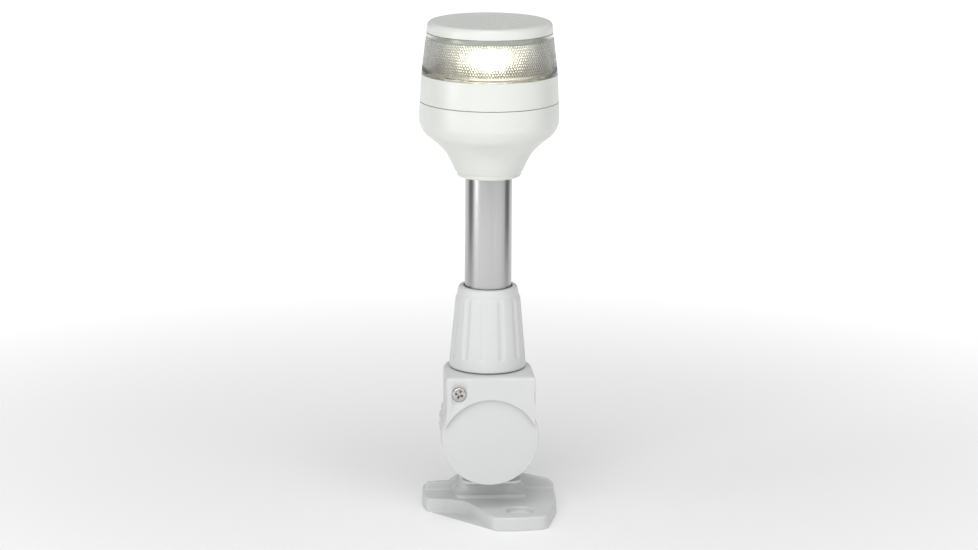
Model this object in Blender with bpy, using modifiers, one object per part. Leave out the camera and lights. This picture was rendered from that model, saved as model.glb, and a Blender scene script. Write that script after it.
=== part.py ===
"""All-round navigation light on a one inch pole, with a fold-down base.

Run with: blender --background --python part.py
Frame: metres, +Z up along the upright pole. The origin is on the deck face, under the pole.
+X is the right hand side of the light, -Y is its front, where the plain hinge disc shows.
"""

import math

import bmesh
import bpy

# ---------------------------------------------------------------- clearances
GAP = 0.0003            # between pieces that rest on or in each other
THREAD_GAP = 0.0006     # between a plain thread cylinder and the bore that runs on it
TURN_GAP = 0.0005       # between a piece that turns and what it turns past

# ---------------------------------------------------------------- deck plate
PLATE_HEIGHT = 0.0077
DECK_OUTLINE = (        # x, y, corner radius: left foot, front right lobe, rear edge
    (-0.0332, -0.0009, 0.003), (-0.0127, -0.0037, 0.031), (0.0012, -0.0380, 0.005),
    (0.0140, -0.0392, 0.040), (0.0305, -0.0362, 0.006), (0.0380, -0.0080, 0.030),
    (0.0396, 0.0300, 0.006), (-0.0332, 0.0300, 0.006), (-0.0350, 0.0120, 0.020),
)
FRONT_HOLE = (0.0163, -0.0256)
FRONT_RECESS_RADIUS = 0.0073
REAR_HOLES = ((-0.0230, 0.0236), (0.0270, 0.0236))
REAR_RECESS_RADIUS = 0.0050
RECESS_DEPTH = 0.0032
SCREW_HOLE_RADIUS = 0.0026
RIB_FRONT = 0.0150
RIB_THICKNESS = 0.0028
LEFT_RIB = (            # x, and height over the plate; each rib runs on inside the neck
    (-0.0330, 0.0023), (-0.0316, 0.0044), (-0.0200, 0.0044), (-0.0150, 0.0083), (0.0088, 0.0083),
)
RIGHT_RIB = ((-0.0073, 0.0088), (0.0200, 0.0088), (0.0360, 0.0050), (0.0386, 0.0023))

# ---------------------------------------------------------------- neck under the hinge
NECK_STEP = 0.0018      # height of the neck's foot above the deck plate
NECK_SINK = 0.0010      # how far a joined shape runs into its neighbour
NECK_WAIST_HEIGHT = 0.0063      # over the deck plate
NECK_SPREAD = 0.0024            # how much wider the neck's foot is than its waist
NECK_LEFT, NECK_RIGHT = -0.0147, 0.0176
NECK_FRONT, NECK_REAR = 0.0022, 0.0165

# ---------------------------------------------------------------- hinge
HINGE_HEIGHT = 0.0485
DISC_RADIUS = 0.0265
DISC_FRONT = -0.0246
DISC_THICKNESS = 0.0100
BOLT_RADIUS = 0.0040
BOLT_HEAD_FLATS = 0.0130
BOLT_HEAD_THICKNESS = 0.0050
BOLT_HEAD_COVER = 0.0030    # disc material in front of the moulded-in head
BOLT_PAST_INSERT = 0.0015
FRICTION_WASHER_RADIUS = 0.0150
FRICTION_WASHER_THICKNESS = 0.0008

# ---------------------------------------------------------------- pole holder
HOLDER_HALF_WIDTH = 0.0241
FRONT_PLATE_THICKNESS = 0.0018
TONGUE_THICKNESS = 0.0156
HEAD_THICKNESS = 0.0074
SHOULDER_TIP = 0.0008       # width of the holder's side walls where they end beside the disc
ARCH_RADIUS = 0.0268
ARCH_DROP = 0.0050          # the arch's centre below the hinge axis
PLATE_SCREW_X = -0.0172
PLATE_SCREW_CLEARANCE = 0.004093            # the screw's axis outside the disc's rim
PLATE_SCREW_RADIUS = 0.0019
PLATE_SCREW_LENGTH = 0.0150
PLATE_SCREW_HEAD_RADIUS = 0.0038
PLATE_SCREW_HEAD_HEIGHT = 0.0012
PLATE_SCREW_SEAT = 0.0006   # depth of the shallow recess round the head
SCREW_CROSS_HALF = (0.0021, 0.0005)         # half length and half width of each slot
SCREW_CROSS_DEPTH = 0.0008
SCREW_CROSS_TURN = math.radians(20)
SOCKET_RADIUS = 0.0156
SOCKET_HEIGHT = 0.0290
SOCKET_FLOOR = 0.0008       # the socket's floor above the holder's top

# ---------------------------------------------------------------- clamp knob
KNOB_RADIUS = 0.0257
KNOB_DEPTH = 0.0148
KNOB_RIBS = 28
KNOB_RIB_DEPTH = 0.0009
KNOB_GROOVE_RADIUS = 0.0016
KNOB_EDGE = 0.0014
THRUST_WASHER_RADIUS = 0.0100
THRUST_WASHER_THICKNESS = 0.0015
SPRING_WASHER_RADIUS = 0.0080
SPRING_WASHER_THICKNESS = 0.0018
SPRING_SLIT = 0.0010
INSERT_FLATS = 0.0130
INSERT_THICKNESS = 0.0064
KNOB_BACK = 0.0022

# ---------------------------------------------------------------- pole and its compression sleeve
POLE_RADIUS = 0.0127
POLE_WALL = 0.0016
POLE_LENGTH = 0.1210
COLLAR_HEIGHT = 0.0446
COLLAR_GAP = 0.0007         # collar above the holder's top when tightened
COLLAR_BOTTOM_RADIUS = 0.0209
COLLAR_TOP_RADIUS = 0.0176
COLLAR_NECK_RADIUS = 0.0166
FLUTES = 12
FLUTE_PHASE = math.radians(18.4)            # of the first flute, from the right towards the back
FLUTE_WIDTH = 0.0042
FLUTE_DEPTH = 0.0006
FLUTE_LOW, FLUTE_HIGH = 0.0064, 0.0392      # over the collar's lower edge
FERRULE_HEIGHT = 0.0084
FERRULE_TAPER = 0.0012
FERRULE_SLIT = 0.0015
SLIP_RING_HEIGHT = 0.0010
POLE_SEAL_RADIUS = 0.0006
POLE_SEAL_RISE = 0.0014     # the seal's groove above the collar's inner shoulder

# ---------------------------------------------------------------- lead inside the pole
LEAD_RADIUS = 0.0016
LEAD_BEND = 0.0076
LEAD_OFFSET = -0.0048       # y of the lead inside the pole
GROMMET_WALL = 0.0008
GROMMET_LENGTH = 0.0040

# ---------------------------------------------------------------- lamp, heights over its lower rim
LAMP_SOCKET_DEPTH = 0.0160
LAMP_WALL = 0.0024
POLE_STOP_THICKNESS = 0.0050    # of the bowl's floor over the pole's upper end
BOWL_HEIGHT = 0.0407
RIM_RADIUS = 0.0175
BOWL_RADIUS = 0.0377
BOWL_FLARE = ((0.0377, 0.0318), (0.0374, 0.0286), (0.0349, 0.0237), (0.0289, 0.0186),
              (0.0237, 0.0132), (0.0207, 0.0080), (0.0185, 0.0032))
SEAM_RADIUS = 0.03735
RING_HEIGHT = 0.0147
LENS_HEIGHT = 0.0218
LENS_BOTTOM_RADIUS = 0.03655
LENS_TOP_RADIUS = 0.0339
LENS_WALL = 0.0026
LID_RADIUS = 0.0337
LID_HEIGHT = 0.0053
LID_EDGE = 0.0022
LID_WALL = 0.0022
LIP_WALL = 0.0018
LIP_DEPTH = 0.0040
SEAL_SECTION = 0.0008
SHELF_THICKNESS = 0.0035    # of the lamp ring's inner shelf, which carries the heat sink
SHELF_WIDTH = 0.0070
SHELF_SINK = 0.0012         # the heat sink's seat below the lens seal's shelf
BOARD_THICKNESS = 0.0016
DRIVER_RADIUS = 0.0250
DRIVER_LEDGE = (0.0030, 0.0022)             # width and height of the ledge under its edge
CAPACITOR_RADIUS = 0.0040
CAPACITOR_HEIGHT = 0.0085
CAPACITOR_PLACE = (0.0120, 0.0040, 0)
INDUCTOR_LOW, INDUCTOR_HIGH = (-0.0160, -0.0050), (-0.0060, 0.0050)
INDUCTOR_HEIGHT = 0.0048
POST_FLATS = 0.0120
POST_CLEARANCE = 0.0030     # between the post's top and the lens's upper edge
SINK_FLANGE_THICKNESS = 0.0025
SINK_SEAT_WIDTH = 0.0030
SINK_BORE = 0.0024          # radius of the wire way up the post
LED_WIDTH = 0.0036
LED_HEIGHT = 0.0100
LED_MIDDLE = 0.0062         # height of the LEDs' middle over the lens's lower edge
LED_THICKNESS = 0.0012
LED_COUNT = 6
LED_TURN = math.pi / 6      # turns the light source so that one face looks straight ahead

# ---------------------------------------------------------------- worked out from the above
HOLDER_FRONT = DISC_FRONT - GAP - FRONT_PLATE_THICKNESS
DISC_BACK = DISC_FRONT + DISC_THICKNESS
TONGUE_FRONT = DISC_BACK + FRICTION_WASHER_THICKNESS + 2 * GAP
TONGUE_BACK = TONGUE_FRONT + TONGUE_THICKNESS
HEAD_FLOOR = HINGE_HEIGHT + max(DISC_RADIUS, KNOB_RADIUS) + TURN_GAP
HOLDER_TOP = HEAD_FLOOR + HEAD_THICKNESS
POLE_BOTTOM = HOLDER_TOP + SOCKET_FLOOR + GAP
POLE_TOP = POLE_BOTTOM + POLE_LENGTH
SOCKET_BORE = POLE_RADIUS + GAP
LEAD_EXIT = HEAD_FLOOR + HEAD_THICKNESS / 2
SOCKET_TOP = HOLDER_TOP + SOCKET_HEIGHT
COLLAR_BOTTOM = HOLDER_TOP + COLLAR_GAP
COLLAR_TOP = COLLAR_BOTTOM + COLLAR_HEIGHT
LAMP_BASE = POLE_TOP - LAMP_SOCKET_DEPTH
RING_BASE = LAMP_BASE + BOWL_HEIGHT + GAP
LENS_BASE = RING_BASE + RING_HEIGHT + GAP
LID_BASE = LENS_BASE + LENS_HEIGHT + GAP
PLATE_SCREW_RISE = math.sqrt((DISC_RADIUS + PLATE_SCREW_CLEARANCE)**2 - PLATE_SCREW_X**2)
PLATE_SCREW_HEIGHT = HINGE_HEIGHT + PLATE_SCREW_RISE
KNOB_FRONT = TONGUE_BACK + TURN_GAP
THRUST_FRONT = TONGUE_BACK + GAP
SPRING_FRONT = THRUST_FRONT + THRUST_WASHER_THICKNESS + GAP
INSERT_FRONT = SPRING_FRONT + SPRING_WASHER_THICKNESS + GAP
BOLT_END = INSERT_FRONT + INSERT_THICKNESS + BOLT_PAST_INSERT

PARTS = "Navigation_Light"
CUTTERS = "Cutters"
HINGE_FACETS = 48
FINE, MEDIUM, COARSE = 40, 28, 16           # facets round large, middling and small pieces
TOWARDS_Y = (-math.pi / 2, 0, 0)            # turns a shape made along +Z to run along +Y


# ================================================================ helpers
def clear_scene():
    for obj in list(bpy.data.objects):
        bpy.data.objects.remove(obj, do_unlink=True)
    for collection in list(bpy.data.collections):
        bpy.data.collections.remove(collection)
    for name in (PARTS, CUTTERS):
        collection = bpy.data.collections.new(name)
        bpy.context.scene.collection.children.link(collection)


def material(name, colour, roughness, metallic=0.0, alpha=1.0):
    made = bpy.data.materials.new(name)
    made.use_nodes = True
    shader = made.node_tree.nodes["Principled BSDF"]
    shader.inputs["Base Color"].default_value = (*colour, 1.0)
    shader.inputs["Roughness"].default_value = roughness
    shader.inputs["Metallic"].default_value = metallic
    shader.inputs["Alpha"].default_value = alpha
    return made


def link(obj, collection=PARTS):
    for other in list(obj.users_collection):
        other.objects.unlink(obj)
    bpy.data.collections[collection].objects.link(obj)
    return obj


def mesh_object(name, bm, smooth_angle=30):
    mesh = bpy.data.meshes.new(name)
    bmesh.ops.recalc_face_normals(bm, faces=bm.faces)
    bm.to_mesh(mesh)
    bm.free()
    mesh.shade_smooth()
    mesh.set_sharp_from_angle(angle=math.radians(smooth_angle))
    return link(bpy.data.objects.new(name, mesh))


def finish(obj, parent, finish_material):
    """Gives a sub-part its material and its parent, and keeps it where it was modelled."""
    obj.data.materials.clear()
    obj.data.materials.append(finish_material)
    bpy.context.view_layer.update()
    obj.parent = parent
    obj.matrix_parent_inverse = parent.matrix_world.inverted()
    return obj


def empty(name, place, parent=None):
    obj = bpy.data.objects.new(name, None)
    obj.location = place
    link(obj)
    bpy.context.view_layer.update()
    if parent:
        obj.parent = parent
        obj.matrix_parent_inverse = parent.matrix_world.inverted()
        bpy.context.view_layer.update()
    return obj


def turned(name, profile, steps=FINE, place=(0, 0, 0), rotation=(0, 0, 0), closed=True):
    """A turned shape: the profile, as (radius, height) points, goes down its outer side and round."""
    mesh = bpy.data.meshes.new(name)
    edges = [(i, i + 1) for i in range(len(profile) - 1)]
    if closed:
        edges.append((len(profile) - 1, 0))
    mesh.from_pydata([(radius, 0, height) for radius, height in profile], edges, [])
    obj = link(bpy.data.objects.new(name, mesh))
    screw = obj.modifiers.new("Turn", "SCREW")
    screw.steps = steps
    screw.render_steps = steps
    screw.use_merge_vertices = True
    screw.merge_threshold = 1e-6
    screw.use_smooth_shade = True
    obj.location = place
    obj.rotation_euler = rotation
    return obj


def ring(name, inner, outer, low, high, **options):
    """A plain turned ring or washer."""
    profile = ((outer, high), (outer, low), (inner, low), (inner, high))
    return turned(name, profile, **options)


def box(name, low, high):
    bm = bmesh.new()
    bmesh.ops.create_cube(bm, size=1.0)
    for vert in bm.verts:
        vert.co = [lo + (value + 0.5) * (hi - lo) for value, lo, hi in zip(vert.co, low, high)]
    return mesh_object(name, bm)


def prism(name, flats, low, high, sides=6, place=(0, 0, 0), rotation=(0, 0, 0), turn=0.0):
    """A regular prism, such as a bolt head, sized across its flats."""
    bm = bmesh.new()
    radius = flats / 2 / math.cos(math.pi / sides)
    bmesh.ops.create_cone(bm, cap_ends=True, segments=sides, radius1=radius, radius2=radius,
                          depth=high - low)
    bmesh.ops.translate(bm, verts=bm.verts, vec=(0, 0, (low + high) / 2))
    spin = turn + math.pi / sides - math.pi / 2
    for vert in bm.verts:
        x, y, z = vert.co
        vert.co = (x * math.cos(spin) - y * math.sin(spin), x * math.sin(spin) + y * math.cos(spin), z)
    obj = mesh_object(name, bm)
    obj.location = place
    obj.rotation_euler = rotation
    return obj


def rod(name, radius, low, high, steps=COARSE, **options):
    """A plain round bar along its own Z."""
    profile = ((0, high), (radius, high), (radius, low), (0, low))
    return turned(name, profile, steps=steps, closed=False, **options)


def rounded_outline(corners, steps=6):
    """Outline points, counterclockwise, with an arc of its own radius at each corner."""
    points = []
    count = len(corners)
    for index, (x, y, radius) in enumerate(corners):
        before = corners[index - 1]
        after = corners[(index + 1) % count]
        ux, uy = before[0] - x, before[1] - y
        vx, vy = after[0] - x, after[1] - y
        u_len, v_len = math.hypot(ux, uy), math.hypot(vx, vy)
        ux, uy, vx, vy = ux / u_len, uy / u_len, vx / v_len, vy / v_len
        half = math.acos(max(-1.0, min(1.0, ux * vx + uy * vy))) / 2
        reach = min(radius / math.tan(half), 0.48 * u_len, 0.98 * v_len)
        turn = reach * math.tan(half)
        bx, by = ux + vx, uy + vy
        b_len = math.hypot(bx, by)
        cx = x + bx / b_len * turn / math.sin(half)
        cy = y + by / b_len * turn / math.sin(half)
        start = math.atan2(y + uy * reach - cy, x + ux * reach - cx)
        end = math.atan2(y + vy * reach - cy, x + vx * reach - cx)
        sweep = (end - start + math.pi) % (2 * math.pi) - math.pi
        for step in range(steps + 1):
            angle = start + sweep * step / steps
            points.append((cx + turn * math.cos(angle), cy + turn * math.sin(angle)))
    return points


def extruded(name, outline, low, high, rotation=(0, 0, 0)):
    """A flat outline made solid from low to high along its own Z."""
    curve = bpy.data.curves.new(name, "CURVE")
    curve.dimensions = "2D"
    curve.fill_mode = "BOTH"
    curve.extrude = (high - low) / 2
    spline = curve.splines.new("POLY")
    spline.points.add(len(outline) - 1)
    for point, (x, y) in zip(spline.points, outline):
        point.co = (x, y, 0, 1)
    spline.use_cyclic_u = True
    guide = link(bpy.data.objects.new(name + "_outline", curve), CUTTERS)
    bpy.context.view_layer.update()
    mesh = bpy.data.meshes.new_from_object(guide.evaluated_get(bpy.context.evaluated_depsgraph_get()))
    bpy.data.objects.remove(guide)
    bm = bmesh.new()
    bm.from_mesh(mesh)
    bmesh.ops.translate(bm, verts=bm.verts, vec=(0, 0, (low + high) / 2))
    bmesh.ops.remove_doubles(bm, verts=bm.verts, dist=1e-6)
    bmesh.ops.dissolve_limit(bm, verts=bm.verts, edges=bm.edges, angle_limit=math.radians(1))
    obj = mesh_object(name, bm)
    obj.rotation_euler = rotation
    return obj


def loft(name, sections, corner_steps=4):
    """A solid through rounded rectangles: each section is z, x0, x1, y0, y1, corner radius."""
    bm = bmesh.new()
    rings = []
    for z, x0, x1, y0, y1, radius in sections:
        corners = ((x0, y0, radius), (x1, y0, radius), (x1, y1, radius), (x0, y1, radius))
        outline = rounded_outline(corners, corner_steps)
        rings.append([bm.verts.new((x, y, z)) for x, y in outline])
    for lower, upper in zip(rings, rings[1:]):
        for index in range(len(lower)):
            after = (index + 1) % len(lower)
            bm.faces.new((lower[index], lower[after], upper[after], upper[index]))
    bm.faces.new(rings[0][::-1])
    bm.faces.new(rings[-1])
    return mesh_object(name, bm)


def combine(obj, other, operation):
    """Joins, cuts or keeps the common part of obj and a helper, and hides the helper."""
    link(other, CUTTERS)
    other.hide_render = True
    other.display_type = "WIRE"
    modifier = obj.modifiers.new(operation.title() + "_" + other.name, "BOOLEAN")
    modifier.operation = operation
    modifier.object = other
    modifier.solver = "EXACT"
    return obj


def cut(obj, other):
    return combine(obj, other, "DIFFERENCE")


def join(obj, other):
    return combine(obj, other, "UNION")


def smooth_through(points, steps=2):
    """Points along one smooth line through the given ones."""
    padded = [points[0], *points, points[-1]]
    line = []
    for p0, p1, p2, p3 in zip(padded, padded[1:], padded[2:], padded[3:]):
        for step in range(steps):
            t = step / steps
            line.append(tuple(
                0.5 * (2 * b + (c - a) * t + (2 * a - 5 * b + 4 * c - d) * t**2
                       + (3 * b - a - 3 * c + d) * t**3)
                for a, b, c, d in zip(p0, p1, p2, p3)))
    line.append(points[-1])
    return line


# ================================================================ base
def make_base(parent, finish_material):
    base = extruded("base", rounded_outline(DECK_OUTLINE), 0.0, PLATE_HEIGHT)
    holes = [(FRONT_HOLE, FRONT_RECESS_RADIUS)]
    holes += [(place, REAR_RECESS_RADIUS) for place in REAR_HOLES]
    for number, ((x, y), radius) in enumerate(holes, 1):
        cut(base, rod(f"recess_{number}", radius, PLATE_HEIGHT - RECESS_DEPTH, PLATE_HEIGHT + 0.001,
                      steps=24, place=(x, y, 0)))
        cut(base, rod(f"screw_hole_{number}", SCREW_HOLE_RADIUS, -0.001, PLATE_HEIGHT,
                      steps=16, place=(x, y, 0)))
    foot = PLATE_HEIGHT + NECK_STEP
    waist = PLATE_HEIGHT + NECK_WAIST_HEIGHT
    top = HINGE_HEIGHT - HOLDER_HALF_WIDTH - 2 * TURN_GAP
    rise = top - waist
    spread = NECK_SPREAD
    sections = (
        (PLATE_HEIGHT - NECK_SINK, NECK_LEFT - spread, NECK_RIGHT + 2 * spread,
         NECK_FRONT - 2 * spread, NECK_REAR + spread, 0.004),
        (foot, NECK_LEFT - spread, NECK_RIGHT + 2 * spread,
         NECK_FRONT - 2 * spread, NECK_REAR + spread, 0.004),
        (foot + 0.0012, NECK_LEFT - spread / 2, NECK_RIGHT + spread,
         NECK_FRONT - spread / 2, NECK_REAR + spread / 2, 0.005),
        (waist, NECK_LEFT, NECK_RIGHT, NECK_FRONT, NECK_REAR, 0.006),
        (waist + 0.4 * rise, NECK_LEFT, NECK_RIGHT, NECK_FRONT - 0.006, NECK_REAR, 0.006),
        (waist + 0.8 * rise, NECK_LEFT, NECK_RIGHT, DISC_FRONT + 0.004, NECK_REAR, 0.005),
        (top, NECK_LEFT, NECK_RIGHT, DISC_FRONT + 0.002, NECK_REAR, 0.005),
    )
    join(base, loft("neck", sections))
    for name, rib in (("left_rib", LEFT_RIB), ("right_rib", RIGHT_RIB)):
        low = PLATE_HEIGHT - NECK_SINK
        crest = [(x, PLATE_HEIGHT + height) for x, height in rib]
        outline = [(rib[0][0], low), *crest, (rib[-1][0], low)]
        join(base, extruded(name, outline, -RIB_FRONT - RIB_THICKNESS, -RIB_FRONT,
                            rotation=(math.pi / 2, 0, 0)))
    saddle = rod("saddle_cut", max(HOLDER_HALF_WIDTH, KNOB_RADIUS) + TURN_GAP, DISC_BACK - NECK_SINK,
                 NECK_REAR + 0.01, steps=HINGE_FACETS, place=(0, 0, HINGE_HEIGHT), rotation=TOWARDS_Y)
    cut(base, saddle)
    join(base, rod("disc", DISC_RADIUS, DISC_FRONT, DISC_BACK, steps=HINGE_FACETS,
                   place=(0, 0, HINGE_HEIGHT), rotation=TOWARDS_Y))
    head_front = DISC_FRONT + BOLT_HEAD_COVER
    cut(base, prism("head_pocket", BOLT_HEAD_FLATS + 2 * GAP, head_front,
                    head_front + BOLT_HEAD_THICKNESS + 2 * GAP,
                    place=(0, 0, HINGE_HEIGHT), rotation=TOWARDS_Y))
    cut(base, rod("bolt_hole", BOLT_RADIUS + GAP, head_front + GAP, DISC_BACK + 0.002,
                  place=(0, 0, HINGE_HEIGHT), rotation=TOWARDS_Y))
    return finish(base, parent, finish_material)


# ================================================================ hinge bolt, washers and clamp knob
def make_pivot_bolt(parent, steel):
    front = DISC_FRONT + BOLT_HEAD_COVER + GAP
    bolt = prism("pivot_bolt", BOLT_HEAD_FLATS, front, front + BOLT_HEAD_THICKNESS,
                 place=(0, 0, HINGE_HEIGHT), rotation=TOWARDS_Y)
    shank = rod("bolt_shank", BOLT_RADIUS, front + 0.001, BOLT_END,
                place=(0, 0, HINGE_HEIGHT), rotation=TOWARDS_Y)
    return finish(join(bolt, shank), parent, steel)


def hinge_ring(name, inner, outer, front, thickness, steps=MEDIUM):
    return ring(name, inner, outer, front, front + thickness, steps=steps,
                place=(0, 0, HINGE_HEIGHT), rotation=TOWARDS_Y)


def make_friction_washer(parent, nylon):
    washer = hinge_ring("friction_washer", BOLT_RADIUS + GAP, FRICTION_WASHER_RADIUS,
                        DISC_BACK + GAP, FRICTION_WASHER_THICKNESS)
    return finish(washer, parent, nylon)


def make_thrust_washer(parent, steel):
    washer = hinge_ring("thrust_washer", BOLT_RADIUS + GAP, THRUST_WASHER_RADIUS,
                        THRUST_FRONT, THRUST_WASHER_THICKNESS)
    return finish(washer, parent, steel)


def make_spring_washer(parent, steel):
    """A split lock washer: a ring with one slanting slit."""
    washer = hinge_ring("spring_washer", BOLT_RADIUS + GAP, SPRING_WASHER_RADIUS,
                        SPRING_FRONT, SPRING_WASHER_THICKNESS, steps=24)
    slit = box("spring_slit", (BOLT_RADIUS - 0.001, -0.002, -SPRING_SLIT / 2),
               (SPRING_WASHER_RADIUS + 0.001, SPRING_WASHER_THICKNESS + 0.002, SPRING_SLIT / 2))
    slit.location = (0, SPRING_FRONT, HINGE_HEIGHT)
    slit.rotation_euler = (math.radians(20), 0, 0)
    return finish(cut(washer, slit), parent, steel)


def make_clamp_knob(parent, nylon):
    back = KNOB_FRONT + KNOB_DEPTH
    recess = THRUST_WASHER_RADIUS + 3 * TURN_GAP
    floor = INSERT_FRONT - GAP
    edge = KNOB_EDGE
    profile = (
        (0, back), (KNOB_RADIUS - 3 * edge, back), (KNOB_RADIUS - edge, back - edge),
        (KNOB_RADIUS, back - 3 * edge), (KNOB_RADIUS, KNOB_FRONT + edge),
        (KNOB_RADIUS - edge, KNOB_FRONT), (recess, KNOB_FRONT), (recess, floor),
        (BOLT_RADIUS + THREAD_GAP, floor), (BOLT_RADIUS + THREAD_GAP, back - KNOB_BACK),
        (0, back - KNOB_BACK),
    )
    knob = turned("clamp_knob", profile, steps=2 * KNOB_RIBS, closed=False,
                  place=(0, 0, HINGE_HEIGHT), rotation=TOWARDS_Y)
    grooves = bmesh.new()
    pitch = 2 * math.pi / KNOB_RIBS
    for number in range(KNOB_RIBS):
        made = bmesh.ops.create_cone(grooves, cap_ends=True, segments=8, radius1=KNOB_GROOVE_RADIUS,
                                     radius2=KNOB_GROOVE_RADIUS, depth=KNOB_DEPTH + 0.004)
        reach = KNOB_RADIUS + KNOB_GROOVE_RADIUS - KNOB_RIB_DEPTH
        spot = (reach * math.cos(number * pitch), reach * math.sin(number * pitch),
                KNOB_FRONT + KNOB_DEPTH / 2)
        bmesh.ops.translate(grooves, verts=made["verts"], vec=spot)
    cutter = mesh_object("knob_grooves", grooves)
    cutter.location = (0, 0, HINGE_HEIGHT)
    cutter.rotation_euler = TOWARDS_Y
    cut(knob, cutter)
    cut(knob, prism("insert_pocket", INSERT_FLATS + 2 * GAP, floor - 0.001,
                    INSERT_FRONT + INSERT_THICKNESS + GAP,
                    place=(0, 0, HINGE_HEIGHT), rotation=TOWARDS_Y))
    return finish(knob, parent, nylon)


def make_knob_insert(parent, brass):
    insert = prism("knob_insert", INSERT_FLATS, INSERT_FRONT, INSERT_FRONT + INSERT_THICKNESS,
                   place=(0, 0, HINGE_HEIGHT), rotation=TOWARDS_Y)
    bore = rod("insert_bore", BOLT_RADIUS + GAP, INSERT_FRONT - 0.002,
               INSERT_FRONT + INSERT_THICKNESS + 0.002,
               place=(0, 0, HINGE_HEIGHT), rotation=TOWARDS_Y)
    return finish(cut(insert, bore), parent, brass)


# ================================================================ pole holder
def holder_outline(front):
    """The holder from above: a straight front and sides, and a round back about the pole."""
    side = HOLDER_HALF_WIDTH
    arc = [(side * math.cos(math.pi * step / 20), side * math.sin(math.pi * step / 20))
           for step in range(21)]
    return [(-side, front), (side, front), *arc]


def make_holder_block(parent, nylon):
    front = HOLDER_FRONT + FRONT_PLATE_THICKNESS + GAP
    block = extruded("holder_block", holder_outline(front), HEAD_FLOOR, HOLDER_TOP)
    side = HOLDER_HALF_WIDTH
    arc = [(side * math.cos(-math.pi * step / 20), side * math.sin(-math.pi * step / 20))
           for step in range(21)]
    tongue = [(-side, HEAD_FLOOR - HINGE_HEIGHT + NECK_SINK), *reversed(arc),
              (side, HEAD_FLOOR - HINGE_HEIGHT + NECK_SINK)]
    shape = extruded("tongue", tongue, -TONGUE_BACK, -TONGUE_FRONT, rotation=(math.pi / 2, 0, 0))
    shape.location = (0, 0, HINGE_HEIGHT)
    join(block, shape)
    room = DISC_RADIUS + GAP
    reach = math.asin((side - SHOULDER_TIP) / room)
    arch = [(room * math.sin(reach * step / 12), room * math.cos(reach * step / 12))
            for step in range(-12, 13)]
    top = HEAD_FLOOR - HINGE_HEIGHT + NECK_SINK
    outline = [*arch, (side, arch[-1][1]), (side, top), (-side, top), (-side, arch[0][1])]
    shoulders = extruded("shoulders", outline, -TONGUE_FRONT - NECK_SINK, -front,
                         rotation=(math.pi / 2, 0, 0))
    shoulders.location = (0, 0, HINGE_HEIGHT)
    join(block, shoulders)
    join(block, rod("socket", SOCKET_RADIUS, HOLDER_TOP - NECK_SINK, SOCKET_TOP, steps=MEDIUM))
    cut(block, rod("socket_bore", SOCKET_BORE, HOLDER_TOP + SOCKET_FLOOR, SOCKET_TOP + 0.001,
                   steps=MEDIUM))
    cut(block, rod("bolt_way", BOLT_RADIUS + GAP, TONGUE_FRONT - 0.002, TONGUE_BACK + 0.002,
                   place=(0, 0, HINGE_HEIGHT), rotation=TOWARDS_Y))
    half = LEAD_RADIUS + 2 * GAP
    cut(block, box("lead_well", (-half, LEAD_OFFSET - half, LEAD_EXIT - half),
                   (half, SOCKET_BORE - 0.001, HOLDER_TOP + SOCKET_FLOOR + 0.001)))
    exit_radius = LEAD_RADIUS + GROMMET_WALL + 2 * GAP
    cut(block, rod("lead_exit", exit_radius, 0.004, side + 0.002, steps=16,
                   place=(0, 0, LEAD_EXIT), rotation=TOWARDS_Y))
    cut(block, rod("screw_bore", PLATE_SCREW_RADIUS + GAP, front - 0.001,
                   HOLDER_FRONT + PLATE_SCREW_LENGTH + 0.001, steps=16,
                   place=(PLATE_SCREW_X, 0, PLATE_SCREW_HEIGHT), rotation=TOWARDS_Y))
    return finish(block, parent, nylon)


def make_front_plate(parent, nylon):
    """The thin plate that keeps the hinge disc in the holder, with an arched lower edge."""
    side = HOLDER_HALF_WIDTH
    centre = -ARCH_DROP
    half = math.asin(side / ARCH_RADIUS)
    arch = [(ARCH_RADIUS * math.sin(half * step / 12), centre + ARCH_RADIUS * math.cos(half * step / 12))
            for step in range(12, -13, -1)]
    height = HOLDER_TOP - HINGE_HEIGHT
    outline = [(side, height), (-side, height), *reversed(arch)]
    plate = extruded("front_plate", outline, -HOLDER_FRONT - FRONT_PLATE_THICKNESS, -HOLDER_FRONT,
                     rotation=(math.pi / 2, 0, 0))
    plate.location = (0, 0, HINGE_HEIGHT)
    spot = {"place": (PLATE_SCREW_X, 0, PLATE_SCREW_HEIGHT), "rotation": TOWARDS_Y}
    cut(plate, rod("plate_hole", PLATE_SCREW_RADIUS + GAP, HOLDER_FRONT - 0.001,
                   HOLDER_FRONT + FRONT_PLATE_THICKNESS + 0.001, steps=16, **spot))
    cut(plate, rod("plate_recess", PLATE_SCREW_HEAD_RADIUS + GAP, HOLDER_FRONT - 0.001,
                   HOLDER_FRONT + PLATE_SCREW_SEAT, steps=24, **spot))
    return finish(plate, parent, nylon)


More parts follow.
